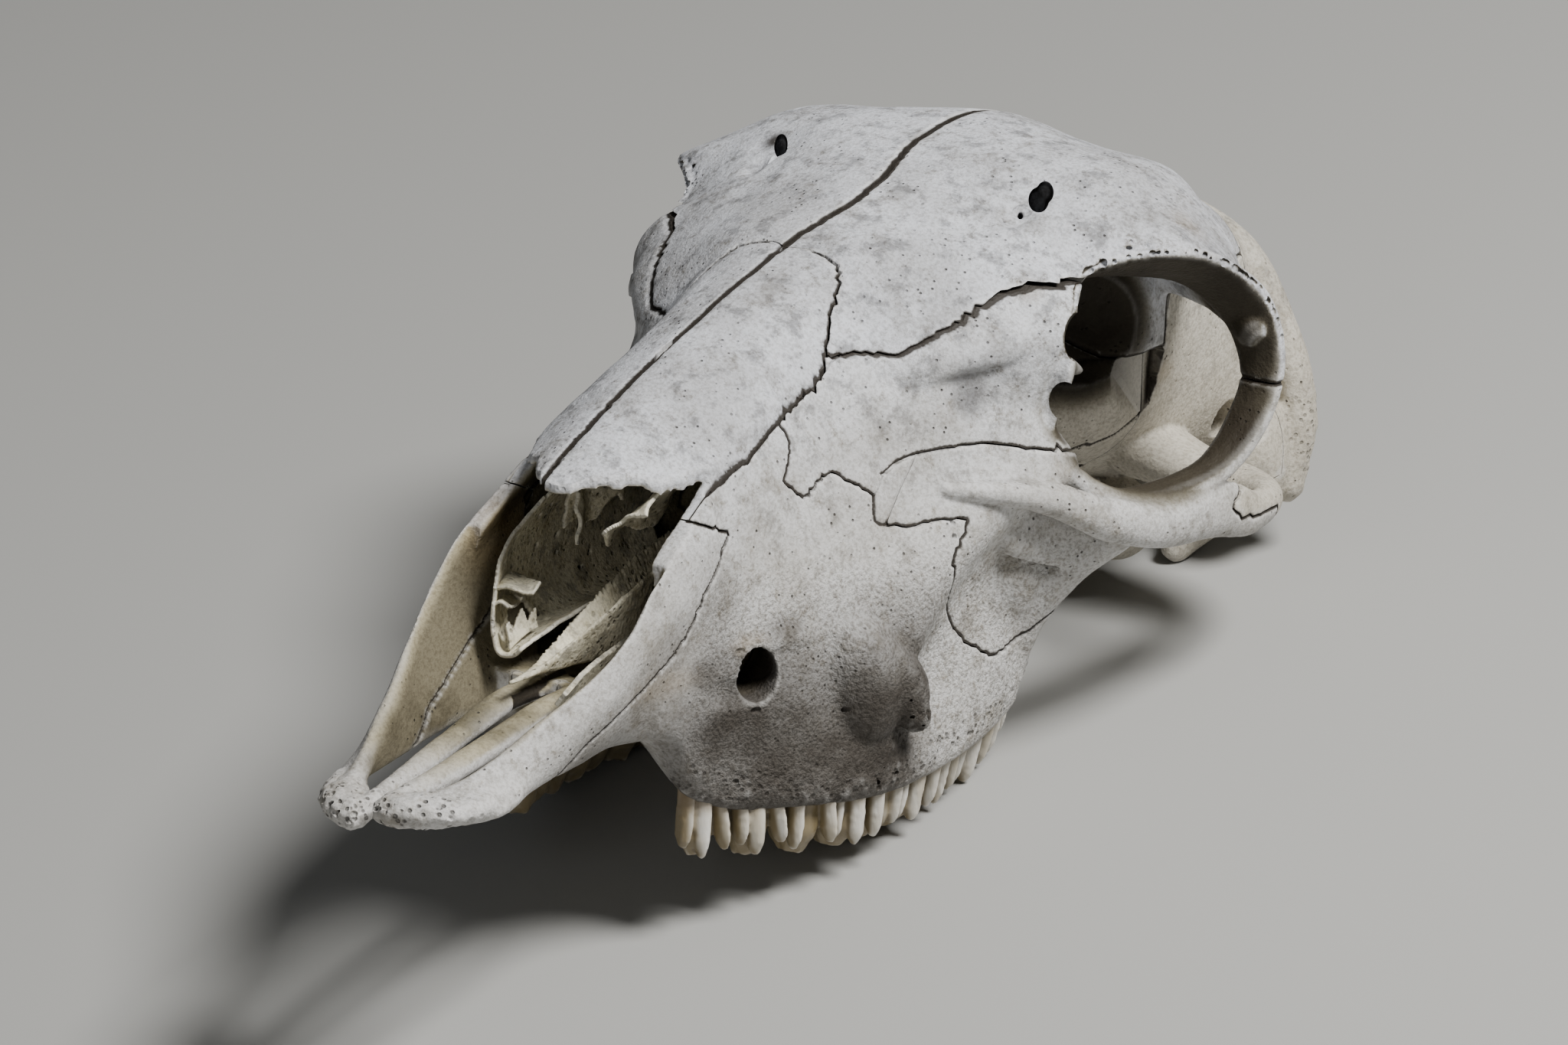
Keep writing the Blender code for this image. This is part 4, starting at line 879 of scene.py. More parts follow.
def sutureLines():  # the wavy lines between the bones, left side, as y and z or, from above, x and y
    return {
        "premaxilla": zigzag(premaxillaRear[1:], 1.5, 0.28, 3),
        "lacrimalFront": zigzag(lacrimalFront, 0.9, 0.5, 5),
        "lacrimalTop": zigzag(lacrimalTop[:4], 0.8, 0.3, 6) + zigzag(lacrimalTop[3:], 1.3, 0.3, 16)[1:],
        "lacrimalFoot": zigzag(lacrimalFoot[:4], 0.9, 0.95, 7) + zigzag(lacrimalFoot[3:], 1.7, 0.22, 8)[1:],
        "zygomaticFront": zigzag(zygomaticFront, 1.1, 0.38, 9),
        "zygomaticRear": zigzag(zygomaticRear, 1.6, 0.3, 19),
        "nasal": zigzag(nasalOuter[1:4], 1.6, 0.2, 22) + zigzag(nasalOuter[3:], 0.9, 0.42, 12)[1:],
        "middle": zigzag(middleLine, 1.4, 0.24, 11),
        "parietal": zigzag(((200, 85), (215, 83.5), (227, 83)), 1.3, 0.5, 14),
    }


def distanceGrid(lines, finer=0.12):  # distance to the lines over a grid; the first is the boldest
    spacing, reach = skull["seamGrid"], skull["seamReach"]
    grid = np.full((int(320 / spacing), int(320 / spacing)), reach)
    window = np.arange(-int(reach / spacing), int(reach / spacing) + 1)
    du, dv = np.meshgrid(window, window, indexing="ij")
    for number, line in enumerate(lines):
        line = np.array(line, float)
        at = lengthsAlong(line)
        places = np.arange(0, at[-1], spacing)
        spots = np.column_stack([np.interp(places, at, line[:, k]) for k in (0, 1)]) + (60, 60)
        cells = np.floor(spots / spacing).astype(int)
        u = cells[:, 0, None] + du.ravel()
        v = cells[:, 1, None] + dv.ravel()
        away = np.hypot(u * spacing - spots[:, 0, None], v * spacing - spots[:, 1, None])
        np.minimum.at(grid, (u, v), away + (finer if number else 0))
    return grid


def readGrid(grid, a, b):
    u = np.clip(((a + 60) / skull["seamGrid"]).astype(int), 0, grid.shape[0] - 1)
    v = np.clip(((b + 60) / skull["seamGrid"]).astype(int), 0, grid.shape[1] - 1)
    return grid[u, v]


def seamAt(points, normals, width):  # 1 on a suture, fading to 0 at the given distance
    x, y, z = points[:, 0], points[:, 1], points[:, 2]
    turned = np.abs(normals[:, 0]) * rise(8, 12, np.abs(x))
    beside = readGrid(seamGrids["side"], y, z)
    outer = np.array(nasalOuter[:9])
    onNasal = (y < 123) & (np.abs(x) < np.interp(y, outer[:, 1], outer[:, 0]) - 0.3) & (z > 54)
    beside = beside + 3 * (1 - rise(0.1, 0.3, turned)) * ((beside > 0.45) | (np.abs(x) < 9)) + 3 * onNasal
    above = readGrid(seamGrids["top"], np.where(x > 4, x, np.where(x < -4, -x, x)), y)
    above = above + 3 * (1 - rise(0.05, 0.25, normals[:, 2])) * (above > 0.5)
    return 1 - rise(0.1, width, np.minimum(beside, above))


def roomOf(prisms, side, within=None, grow=0.0):
    whole = None
    for axis, outline, low, high, extra in prisms:
        extras = np.broadcast_to(extra, len(outline))
        kept = [i for i in range(len(outline)) if math.dist(outline[i], outline[i - 1]) > 0.02]
        shape = [outline[i] for i in kept]
        if grow:
            shape = grownOutline(shape, grow + extras[kept])
        form = prism(shape, axis, low - grow, high + grow)
        piece = made("room", [mirrored(form) if side < 0 else form])
        if whole is None:
            whole = piece
        else:
            cutBy(whole, piece, "UNION")
    if within is not None and side > 0:
        cutBy(whole, roomOf([within], 1, None, grow), "INTERSECT")
    return whole


def parted(body):  # cuts the skull into its bones along the sutures
    bones = {}
    for name, paired, prisms, within in territories():
        for side, ending in (((1, "Left"), (-1, "Right")) if paired else ((1, "Bone"),)):
            bone = body.copy()
            bone.data = body.data.copy()
            bone.name = name + ending
            bpy.context.collection.objects.link(bone)
            cutBy(bone, roomOf(prisms, side, within), "INTERSECT")
            bones[bone.name] = bone
            cutBy(body, roomOf(prisms, side, within, skull["sutureGap"]))
        print("cut out", name)
    body.name = "sphenoidBone"
    bones["sphenoidBone"] = body
    for bone in bones.values():
        largestOnly(bone)
    return bones


def placePiece(obj, node):  # lays the piece where the solids lie, hangs it under the root and hides the solid it stands for
    obj.data.transform(restMatrix)
    points = pointsOf(obj)
    points[:, 2] = np.maximum(points[:, 2], 0)  # nothing sinks into the floor
    movePoints(obj, points)
    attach(obj, "root")
    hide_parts(node)


def setMask(obj, name, values):
    layer = obj.data.attributes.new(name, "FLOAT", "POINT")
    layer.data.foreach_set("value", np.clip(values, 0, 1).astype(np.float32))


def hollowness(obj, passes, depth):  # 0.5 on flat bone, more in hollows, less on edges
    points, normals = pointsOf(obj), normalsOf(obj)
    ends = np.empty(len(obj.data.edges) * 2, np.int32)
    obj.data.edges.foreach_get("vertices", ends)
    a, b = ends.reshape(-1, 2).T
    count = len(points)
    share = np.bincount(a, minlength=count) + np.bincount(b, minlength=count)
    soft = points.copy()
    for _ in range(passes):
        total = np.column_stack([
            np.bincount(a, soft[b, k], count) + np.bincount(b, soft[a, k], count) for k in range(3)
        ])
        soft = 0.4 * soft + 0.6 * total / np.maximum(share, 1)[:, None]
    return 0.5 + np.sum((soft - points) * normals, axis=1) / (2 * depth)


def socketShare(points, normals):  # 1 on the walls of the eye sockets
    turn = math.radians(eyeSocket["turn"])
    x, y, z = (side - middle for side, middle in zip(folded(points), eyeSocket["centre"]))
    u, v = x * math.cos(turn) - y * math.sin(turn), x * math.sin(turn) + y * math.cos(turn)
    wide, long, high = eyeSocket["radii"]
    away = np.sqrt((u / wide) ** 2 + (v / long) ** 2 + (z / high) ** 2)
    inwards = -(np.sign(points[:, 0]) * normals[:, 0] * x + normals[:, 1] * y + normals[:, 2] * z)
    inwards /= np.linalg.norm(np.column_stack([x, y, z]), axis=1)
    return (1 - rise(1.02, 1.2, away)) * rise(-0.1, 0.35, inwards)


def noseShare(points, normals):  # 1 on the walls of the nose's hollow
    x, y, z = folded(points)
    roof, floor = curveAt(cavityRails["roof"], y)[:, 1], curveAt(cavityRails["floor"], y)[:, 1]
    wall = curveAt(cavityRails["wall"], y)[:, 0]
    away = np.maximum(np.abs(2 * z - roof - floor) / (roof - floor), x / wall)
    inside = (1 - rise(1.05, 1.25, away)) * rise(16, 34, y) * (1 - rise(136, 150, y))
    edge = curveAt(wallRails["edge"], y)[:, 0]
    front = (1 - rise(-1.6, 0.2, x - edge)) * rise(10, 18, y) * (1 - rise(60, 72, y)) * rise(20, 25, z)
    middle = (roof + floor) / 2
    inwards = -(np.sign(points[:, 0]) * normals[:, 0] * x + normals[:, 2] * (z - middle))
    inwards /= np.hypot(x, z - middle) + 1
    return np.maximum(inside, front) * rise(-0.05, 0.4, inwards)


def spotted(points, spots):  # the strongest of some soft spots: place, reach, strength
    total = np.zeros(len(points))
    for place, reach, strength in spots:
        away = np.linalg.norm((points - place) / reach, axis=1)
        total = np.maximum(total, strength * (1 - rise(0.15, 1, away)))
    return total


def maskBone(obj):
    points, normals = pointsOf(obj), normalsOf(obj)
    x, y, z = folded(points)
    sided = np.column_stack([x, y, z])
    setMask(obj, "hollow", hollowness(obj, 12, 0.5))
    # The eye sockets' walls and the far inner wall of the snout get painted shade: the lining colour through
    # the inner mask and near-black through the dark one.
    socket = socketShare(points, normals) * (1 - spotted(sided, (((31, 193, 57), (15, 14, 22), 1.0),)))
    farWall = (points[:, 0] < -4) * rise(0.05, 0.45, normals[:, 0])
    farWall = farWall * rise(14, 22, y) * (1 - rise(84, 98, y))
    farWall = farWall * (1 - rise(-3.5, -1, z - curveAt(wallRails["edge"], y)[:, 1]))
    setMask(obj, "inner", np.maximum(np.maximum(socket, farWall), noseShare(points, normals)))
    setMask(obj, "porous", roughAt(points))
    setMask(obj, "seam", seamAt(points, normals, 0.7))
    # Darker lower face of the maxilla and lower outer snout wall: brown stain, with painted shade where the
    # surface turns down and away.
    low = (1 - rise(25, 47, z - 0.12 * (y - 90))) * rise(54, 76, y) * (1 - rise(110, 126, y))
    low = low * rise(12, 18, x)
    stainAndShade = low * (0.98 + 0.2 * noiseAt(points, 9, 21))
    edge = curveAt(wallRails["edge"], y)[:, 1]
    flank = (1 - rise(-20, -4, z - edge)) * rise(12, 26, y) * (1 - rise(70, 88, y))
    flank = flank * rise(0.1, 0.5, np.abs(normals[:, 0]))
    stainAndShade = np.maximum(stainAndShade, flank * (0.62 + 0.3 * noiseAt(points, 8, 22)))
    setMask(obj, "stainAndShade", np.maximum(stainAndShade, spotted(sided, stainsAndShade["brownAndShade"])))
    setMask(obj, "smudge", spotted(points, stainsAndShade["grey"]))
    setMask(obj, "ochre", spotted(points, stainsAndShade["ochre"]) * (0.75 + 0.25 * noiseAt(points, 2.5, 23)))
    setMask(obj, "warm", 1 - rise(46, 84, z - 0.12 * (y - 120)))
    setMask(obj, "grained", stippleAt(points))
    # painted shade: near-black on the eye sockets, the far inner wall of the snout, the deep holes and under
    # the cheek's knob
    setMask(obj, "paintedShade", np.maximum(spotted(points, stainsAndShade["paintedShade"]), np.maximum(socket, 0.62 * farWall)))


# Spots for the masks: painted shade, brown stain with painted shade, grey smudges and ochre stains.
stainsAndShade = {
    # spots of painted shade in the holes above the eyes, in the canal under the eye and under the cheek's
    # knob, where it is partly stain
    "paintedShade": (
        ((24.4, 165.8, 100.2), (5, 5.6, 4.4), 2.2), ((26.0, 157.4, 98.2), (1.4, 2.4, 1.4), 1.8),
        ((-28.4, 165.4, 100.8), (4.4, 5.6, 4), 2.2), ((21, 83, 32), (8.5, 12, 8), 1.8),
        ((39, 107, 14.6), (7, 11, 4.6), 1.0),
    ),
    # brown spots: stain, partly painted shade beside the cheek's knob and the hole under the eye
    "brownAndShade": (
        ((27, 87, 38), (5, 9, 5), 0.7), ((37, 114, 20), (7, 9, 9), 0.75), ((24, 69, 33), (6, 9, 8), 0.85),
        ((31, 95, 13), (6, 12, 6), 0.8), ((22, 50, 30), (6, 14, 5), 0.35),
    ),
    "grey": (
        ((36, 129.5, 73.4), (7, 5.5, 6.5), 1.1), ((38, 134, 78), (9, 9, 9), 0.3),
        ((50, 178, 94), (16, 9, 8), 0.25),
    ),
    "ochre": (
        ((38, 141, 91), (5, 5, 4), 0.8), ((-17.5, 68, 50), (4, 16, 12), 1.0), ((24, 79, 37), (6, 6, 3), 0.4),
        ((36, 198, 66), (6, 6, 4), 0.7), ((46, 176, 97), (8, 5, 5), 0.35), ((20, 60, 33), (5, 16, 4), 0.3),
    ),
}


def nodeAt(tree, kind, **values):
    node = tree.nodes.new(kind)
    row, column = divmod(len(tree.nodes), 8)
    node.location = (200 * column - 2000, -260 * row)
    for key, value in values.items():
        setattr(node, key, value)
    return node


def mixColour(tree, factor, a, b, blend="MIX"):
    mix = nodeAt(tree, "ShaderNodeMix", data_type="RGBA", blend_type=blend)
    for socket, value in ((mix.inputs[0], factor), (mix.inputs[6], a), (mix.inputs[7], b)):
        if isinstance(value, bpy.types.NodeSocket):
            tree.links.new(value, socket)
        elif isinstance(value, tuple):
            socket.default_value = value + (1,)
        else:
            socket.default_value = value
    return mix.outputs[2]


def mathNode(tree, operation, *values):
    node = nodeAt(tree, "ShaderNodeMath", operation=operation, use_clamp=operation == "MULTIPLY")
    for socket, value in zip(node.inputs, values):
        if isinstance(value, bpy.types.NodeSocket):
            tree.links.new(value, socket)
        else:
            socket.default_value = value
    return node.outputs[0]


def ramp(tree, value, low, high, lowValue=0.0, highValue=1.0):
    node = nodeAt(tree, "ShaderNodeMapRange", interpolation_type="SMOOTHSTEP")
    tree.links.new(value, node.inputs[0])
    for socket, number in zip(node.inputs[1:5], (low, high, lowValue, highValue)):
        socket.default_value = number
    return node.outputs[0]


def noiseNode(tree, coords, scale, detail=4.0, rough=0.55, stretch=None):
    if stretch:
        mapping = nodeAt(tree, "ShaderNodeMapping")
        mapping.inputs["Scale"].default_value = stretch
        tree.links.new(coords, mapping.inputs[0])
        coords = mapping.outputs[0]
    node = nodeAt(tree, "ShaderNodeTexNoise")
    node.inputs["Scale"].default_value = scale
    node.inputs["Detail"].default_value = detail
    node.inputs["Roughness"].default_value = rough
    tree.links.new(coords, node.inputs["Vector"])
    return node.outputs["Fac"]


def pitNode(tree, coords, scale, low, high):  # 1 in scattered round pits
    node = nodeAt(tree, "ShaderNodeTexVoronoi")
    node.inputs["Scale"].default_value = scale
    tree.links.new(coords, node.inputs["Vector"])
    return ramp(tree, node.outputs["Distance"], low, high, 1.0, 0.0)


def maskNode(tree, name):
    node = nodeAt(tree, "ShaderNodeAttribute", attribute_name=name)
    return node.outputs["Fac"]


boneLook = {
    "upper": {"pale": (0.63, 0.65, 0.70), "shade": (0.24, 0.23, 0.22), "warmth": 0.35},
    "face": {"pale": (0.63, 0.645, 0.68), "shade": (0.24, 0.225, 0.205), "warmth": 0.6},
    "base": {"pale": (0.64, 0.615, 0.55), "shade": (0.27, 0.245, 0.20), "warmth": 1.0},
    "thin": {"pale": (0.80, 0.76, 0.60), "shade": (0.42, 0.36, 0.22), "warmth": 0.5},
    # The brown is stain and painted shade together; olive and cream make the lining, which is partly painted
    # shade.
    "beige": (0.50, 0.46, 0.38), "brownAndShade": (0.062, 0.054, 0.046), "olive": (0.105, 0.09, 0.05),
    "cream": (0.36, 0.32, 0.215), "ochre": (0.32, 0.21, 0.07), "slate": (0.095, 0.093, 0.096),
    # The near-black colour below is dirt in pores and sutures and also painted shade in hollows, holes and
    # sockets; the pale edge colour is a painted highlight on convex edges.
    "dirtAndShade": (0.022, 0.017, 0.012), "edge": (0.84, 0.83, 0.81), "grain": (0.50, 0.475, 0.44),
    "roughness": 0.62, "specular": 0.25, "bump": 0.8, "bumpHeight": 0.0006,
}


def newMaterial(name):
    material = bpy.data.materials.new(name)
    material.use_nodes = True
    tree = material.node_tree
    return material, tree, tree.nodes["Principled BSDF"]


def finishShader(tree, shader, colour, height, look):
    tree.links.new(colour, shader.inputs["Base Color"])
    shader.inputs["Roughness"].default_value = look["roughness"]
    shader.inputs["Specular IOR Level"].default_value = look["specular"]
    bump = nodeAt(tree, "ShaderNodeBump")
    bump.inputs["Strength"].default_value = look["bump"]
    bump.inputs["Distance"].default_value = look["bumpHeight"]
    tree.links.new(height, bump.inputs["Height"])
    tree.links.new(bump.outputs["Normal"], shader.inputs["Normal"])


def tinted(tree, colour, mask, amount, tint):  # the tint laid over the colour where the mask is 1
    return mixColour(tree, mathNode(tree, "MULTIPLY", mask, amount), colour, tint)


def boneMaterial(kind):
    look = boneLook[kind]
    material, tree, shader = newMaterial(kind + "Bone")
    coords = nodeAt(tree, "ShaderNodeTexCoord").outputs["Object"]
    masks = {
        name: maskNode(tree, name)
        for name in (
            "hollow", "inner", "porous", "stainAndShade", "warm", "seam", "smudge", "ochre", "grained", "paintedShade",
        )
    }
    broad = noiseNode(tree, coords, 38, 5, 0.6)
    patchy = noiseNode(tree, coords, 95, 9, 0.74)
    grain = noiseNode(tree, coords, 620, 4, 0.62)
    fine = noiseNode(tree, coords, 1500, 3, 0.6)
    cloudy, blotchy = ramp(tree, broad, 0.42, 0.66), ramp(tree, patchy, 0.48, 0.70)
    speck = ramp(tree, noiseNode(tree, coords, 380, 8, 0.82), 0.53, 0.66)
    colour = tinted(tree, look["pale"], cloudy, 0.42, look["shade"])
    colour = tinted(tree, colour, blotchy, 0.75, look["shade"])
    specks = mathNode(tree, "MULTIPLY", speck, ramp(tree, patchy, 0.40, 0.62, 0.35, 0.95))
    colour = mixColour(tree, specks, colour, look["shade"])
    dabs = ramp(tree, noiseNode(tree, coords, 210, 6, 0.7), 0.5, 0.64)
    colour = tinted(tree, colour, dabs, 0.55, boneLook["slate"])
    colour = tinted(tree, colour, masks["warm"], 0.6 * look["warmth"], boneLook["beige"])
    clouds = ramp(tree, noiseNode(tree, coords, 85, 8, 0.75), 0.3, 0.6, 0.84, 1.0)
    # brown stain with painted shade over the stained and turned-away places
    colour = tinted(tree, colour, masks["stainAndShade"], clouds, boneLook["brownAndShade"])
    smears = ramp(tree, patchy, 0.3, 0.6, 0.72, 1.0)
    colour = tinted(tree, colour, masks["smudge"], smears, boneLook["slate"])
    # lining of the nose and the eye sockets: partly the bone's own olive-brown, partly painted shade
    lining = mixColour(tree, cloudy, boneLook["cream"], boneLook["olive"])
    colour = mixColour(tree, masks["inner"], colour, lining)
    colour = tinted(tree, colour, masks["ochre"], 0.75, boneLook["ochre"])
    grained = ramp(tree, masks["grained"], 0, 1, 0.5, 0.8)
    grainy = mathNode(tree, "MULTIPLY", ramp(tree, fine, 0.42, 0.66), grained)
    colour = mixColour(tree, grainy, colour, boneLook["grain"], "MULTIPLY")
    # dark pores: partly dirt, partly painted shade inside the pores
    sparse = ramp(tree, noiseNode(tree, coords, 75, 4), 0.44, 0.6)
    pits = mathNode(tree, "MULTIPLY", pitNode(tree, coords, 560, 0.07, 0.17), sparse)
    deepPits = mathNode(tree, "MULTIPLY", masks["porous"], pitNode(tree, coords, 650, 0.14, 0.34))
    pits = mathNode(tree, "MAXIMUM", pits, deepPits)
    colour = tinted(tree, colour, pits, 0.85, boneLook["dirtAndShade"])
    # painted shade over the sockets, the holes and the far snout wall
    colour = tinted(tree, colour, masks["paintedShade"], 0.93, boneLook["dirtAndShade"])
    # painted shade: the deeper the hollow, the darker the bone
    deep = ramp(tree, masks["hollow"], 0.60, 0.98)
    colour = tinted(tree, colour, deep, 0.8, boneLook["dirtAndShade"])
    # painted highlight: convex edges and crests made paler
    edges = ramp(tree, masks["hollow"], 0.44, 0.12)
    colour = tinted(tree, colour, edges, 0.3, boneLook["edge"])
    # sutures: the joints' dark colour, carried onto the gap walls as painted shade
    seam = ramp(tree, masks["seam"], 0.1, 0.7, 0, 0.97)
    colour = mixColour(tree, seam, colour, boneLook["dirtAndShade"])
    relief = mathNode(tree, "MULTIPLY", grain, 0.45)
    stippled = mathNode(tree, "MULTIPLY", fine, ramp(tree, masks["grained"], 0, 1, 0.3, 1.5))
    stippled.node.use_clamp = False
    relief = mathNode(tree, "ADD", relief, stippled)
    relief = mathNode(tree, "SUBTRACT", relief, mathNode(tree, "MULTIPLY", pits, 0.9))
    finishShader(tree, shader, colour, relief, boneLook)
    return material


bonePieces = {
    "frontalLeft": ("frontal_left", "upper"), "frontalRight": ("frontal_right", "upper"),
    "nasalLeft": ("nasal_left", "upper"), "nasalRight": ("nasal_right", "upper"),
    "parietalBone": ("parietal", "upper"),
    "maxillaLeft": ("maxilla_left", "face"), "maxillaRight": ("maxilla_right", "face"),
    "premaxillaLeft": ("premaxilla_left", "face"), "premaxillaRight": ("premaxilla_right", "face"),
    "lacrimalLeft": ("lacrimal_left", "face"), "lacrimalRight": ("lacrimal_right", "face"),
    "zygomaticLeft": ("zygomatic_left", "face"), "zygomaticRight": ("zygomatic_right", "face"),
    "temporalLeft": ("temporal_left", "base"), "temporalRight": ("temporal_right", "base"),
    "occipitalBone": ("occipital", "base"), "sphenoidBone": ("sphenoid", "base"),
    "palatineLeft": ("palatine_left", "base"), "palatineRight": ("palatine_right", "base"),
}
slotOfKind = {"upper": "upper_bone", "face": "face_bone", "base": "base_bone", "thin": "thin_bone"}


teeth = {
    "voxel": 0.26, "smoothPasses": 2, "recess": 1.5, "ribDepth": 1.8,
    # front y, back y, width across, then each rib: where along the tooth, its half breadth, how far its tip
    # leans back, how high its tip stands, how far out it stands
    "shapes": (
        (71.6, 79.0, 6.5, (
            (0.12, 0.85, -0.3, 1.3, -0.5), (0.44, 1.35, 0.2, 0.0, 0.3), (0.78, 0.8, 2.3, 0.9, 0.0),
        )),
        (80.2, 88.0, 8.5, (
            (0.12, 0.8, 0.7, 1.5, 0.0), (0.44, 1.35, 0.7, 0.0, 0.4), (0.86, 0.75, 2.0, 1.7, 0.2),
        )),
        (89.2, 97.8, 10.5, ((0.22, 0.8, 0.1, 0.6, 0.2), (0.88, 0.8, 1.5, 1.1, 0.4))),
        (99.2, 114.2, 12.5, (
            (0.04, 0.9, -0.2, 1.5, -0.4), (0.29, 1.35, 0.3, 0.0, 0.4), (0.58, 1.0, 0.4, 0.9, 0.5),
            (0.92, 0.85, 0.8, 1.4, 0.0),
        )),
        (115.3, 134.2, 13.5, (
            (0.05, 1.0, -0.2, 1.4, -0.2), (0.27, 1.4, 0.1, 0.1, 0.4), (0.55, 1.05, 0.3, 1.1, 0.5),
            (0.76, 1.1, 0.2, 0.5, 0.1), (0.95, 0.85, 1.0, 1.4, 0.0),
        )),
        (135.6, 155.6, 12.5, (
            (0.05, 1.0, -0.2, 1.4, -0.1), (0.26, 1.35, 0.1, 0.2, 0.4), (0.52, 1.05, 0.4, 1.1, 0.5),
            (0.73, 1.1, 0.4, 0.6, 0.2), (0.93, 0.8, 1.6, 1.6, 0.0),
        )),
    ),
}


def toothForms(front, back, width, ribs):
    forms = []
    length = back - front
    ahead, behind = curveAt(toothRow, [front])[0], curveAt(toothRow, [back])[0]
    along = np.array((behind[0] - ahead[0], length))
    along /= np.linalg.norm(along)
    inward = np.array((-along[1], along[0]))
    depth = teeth["ribDepth"]
    for share, half, lean, lift, out in ribs:
        place = front + length * share
        row = curveAt(toothRow, [place])[0]
        path, sizes = [], []
        for t, breadth in ((-0.45, 0.7), (-0.1, 0.95), (0.3, 1.05), (0.66, 1.0), (0.88, 0.72), (0.99, 0.34)):
            z = row[1] + (row[3] + lift - row[1]) * t
            x = row[0] + (row[2] - row[0]) * max(t, 0)
            spot = np.array((x, place)) + along * lean * max(t, 0) ** 1.3 - inward * (out - depth)
            path.append((spot[0], spot[1], z))
            sizes.append((half * breadth, depth * min(1, breadth + 0.1)))
        forms.append(tube(path, sizes, up=(1, 0, 0), sides=16, per=5))
    lobes = 2 if length > 12 else 1
    for k in range(lobes):  # the body set back behind the ribs, with its worn surface
        place = front + length * (k + 0.5) / lobes
        row = curveAt(toothRow, [place])[0]
        path, sizes = [], []
        for t, breadth in ((-0.45, 0.7), (-0.2, 0.92), (0.4, 1.0), (0.8, 0.96), (0.92, 0.82)):
            z = row[1] + (row[3] + 0.4 - row[1]) * t
            x = row[0] + (row[2] - row[0]) * max(t, 0)
            spot = np.array((x, place)) + inward * (teeth["recess"] + width * 0.42)
            path.append((spot[0], spot[1], z))
            sizes.append((length / lobes * 0.47 * breadth, width * 0.42 * breadth))
        forms.append(tube(path, sizes, up=(1, 0, 0), sides=24, per=5))
    return forms


def makeTeeth(side, ending):
    for number, shape in enumerate(teeth["shapes"]):
        forms = toothForms(*shape)
        if side < 0:
            forms = [mirrored(form) for form in forms]
        tooth = made("tooth" + ending + str(number + 1), forms)
        grownTogether(tooth, teeth["voxel"], teeth["smoothPasses"])
        points, normals = pointsOf(tooth), normalsOf(tooth)
        lift = 0.1 * noiseAt(points * (1, 1, 0.3), 1.6, 31 + number) + 0.07 * noiseAt(points, 0.9, 41)
        row = curveAt(toothRow, points[:, 1])
        lift += 0.5 * noiseAt(points * (1, 1, 0), 1.3, 43) * (1 - rise(0.4, 2.4, points[:, 2] - row[:, 3]))
        movePoints(tooth, points + normals * lift[:, None])
        points = pointsOf(tooth)
        setMask(tooth, "hollow", hollowness(tooth, 10, 0.35))
        gum = curveAt(toothRow, points[:, 1])
        outer = gum[:, 0] + (gum[:, 2] - gum[:, 0]) * rise(0, 1, (gum[:, 1] - points[:, 2]) / 10)
        setMask(tooth, "height", (points[:, 2] - gum[:, 3]) / 10)
        setMask(tooth, "setBack", rise(0.3, 1.5, outer - np.abs(points[:, 0])))
        tooth.data.materials.append(enamel)
        choose(tooth)
        bpy.ops.object.shade_smooth()
        placePiece(tooth, "maxilla" + ("_left" if side > 0 else "_right"))


enamelLook = {
    "ivory": (0.72, 0.705, 0.66), "streak": (0.36, 0.30, 0.19), "blotch": (0.42, 0.34, 0.2),
    # setBack and deep: brown stain, partly painted shade in the recesses; edge: a painted highlight on the
    # ribs
    "setBack": (0.19, 0.145, 0.07), "gum": (0.25, 0.19, 0.12), "deep": (0.09, 0.062, 0.03),
    "edge": (0.84, 0.81, 0.74), "roughness": 0.34, "specular": 0.5, "bump": 0.25, "bumpHeight": 0.0004,
}


def enamelMaterial():
    look = enamelLook
    material, tree, shader = newMaterial("toothEnamel")
    coords = nodeAt(tree, "ShaderNodeTexCoord").outputs["Object"]
    hollow, height = maskNode(tree, "hollow"), maskNode(tree, "height")
    streaks = ramp(tree, noiseNode(tree, coords, 260, 4, 0.6, (1, 1, 0.18)), 0.35, 0.7)
    blotch = ramp(tree, noiseNode(tree, coords, 120, 5, 0.6), 0.4, 0.7)
    colour = tinted(tree, look["ivory"], streaks, 0.6, look["streak"])
    colour = tinted(tree, colour, blotch, 0.35, look["blotch"])
    # the set-back body: brown stain, partly painted shade in the recess
    colour = tinted(tree, colour, maskNode(tree, "setBack"), 0.92, look["setBack"])
    gum = ramp(tree, height, 0.62, 1.0)
    colour = tinted(tree, colour, gum, 0.75, look["gum"])
    # grooves: brown stain, partly painted shade
    deep = ramp(tree, hollow, 0.53, 0.82)
    colour = tinted(tree, colour, deep, 0.9, look["deep"])
    # painted highlight on the ribs' convex edges
    edges = ramp(tree, hollow, 0.45, 0.1)
    colour = tinted(tree, colour, edges, 0.5, look["edge"])
    finishShader(tree, shader, colour, streaks, enamelLook)
    return material


scrolls = {
    "thick": 0.7, "columns": 90, "stepAlong": 0.5,
    # the right scroll, seen from the left through the open nose: y, its lip's z, how deep its bowl is
    "bowl": ((55.5, 33.2, 0.2), (60, 34.4, 2.2), (68, 36, 3.6), (80, 38, 4), (94, 40.2, 4), (108, 42.4, 4)),
    # its upright front edge as z and y
    "front": ((32.5, 55.8), (38, 55.6), (44, 56), (49, 58.6), (53, 62.6), (57, 67.4), (61, 72.5)),
}


def spread(rows, columns):  # a grid of the places in rows and of t, from 0 to 1 across
    return np.meshgrid(rows, np.linspace(0, 1, columns), indexing="ij")


def roofAt(rows, tt):
    return curveAt(cavityRails["roof"], rows)[:, 1][:, None] + 0 * tt


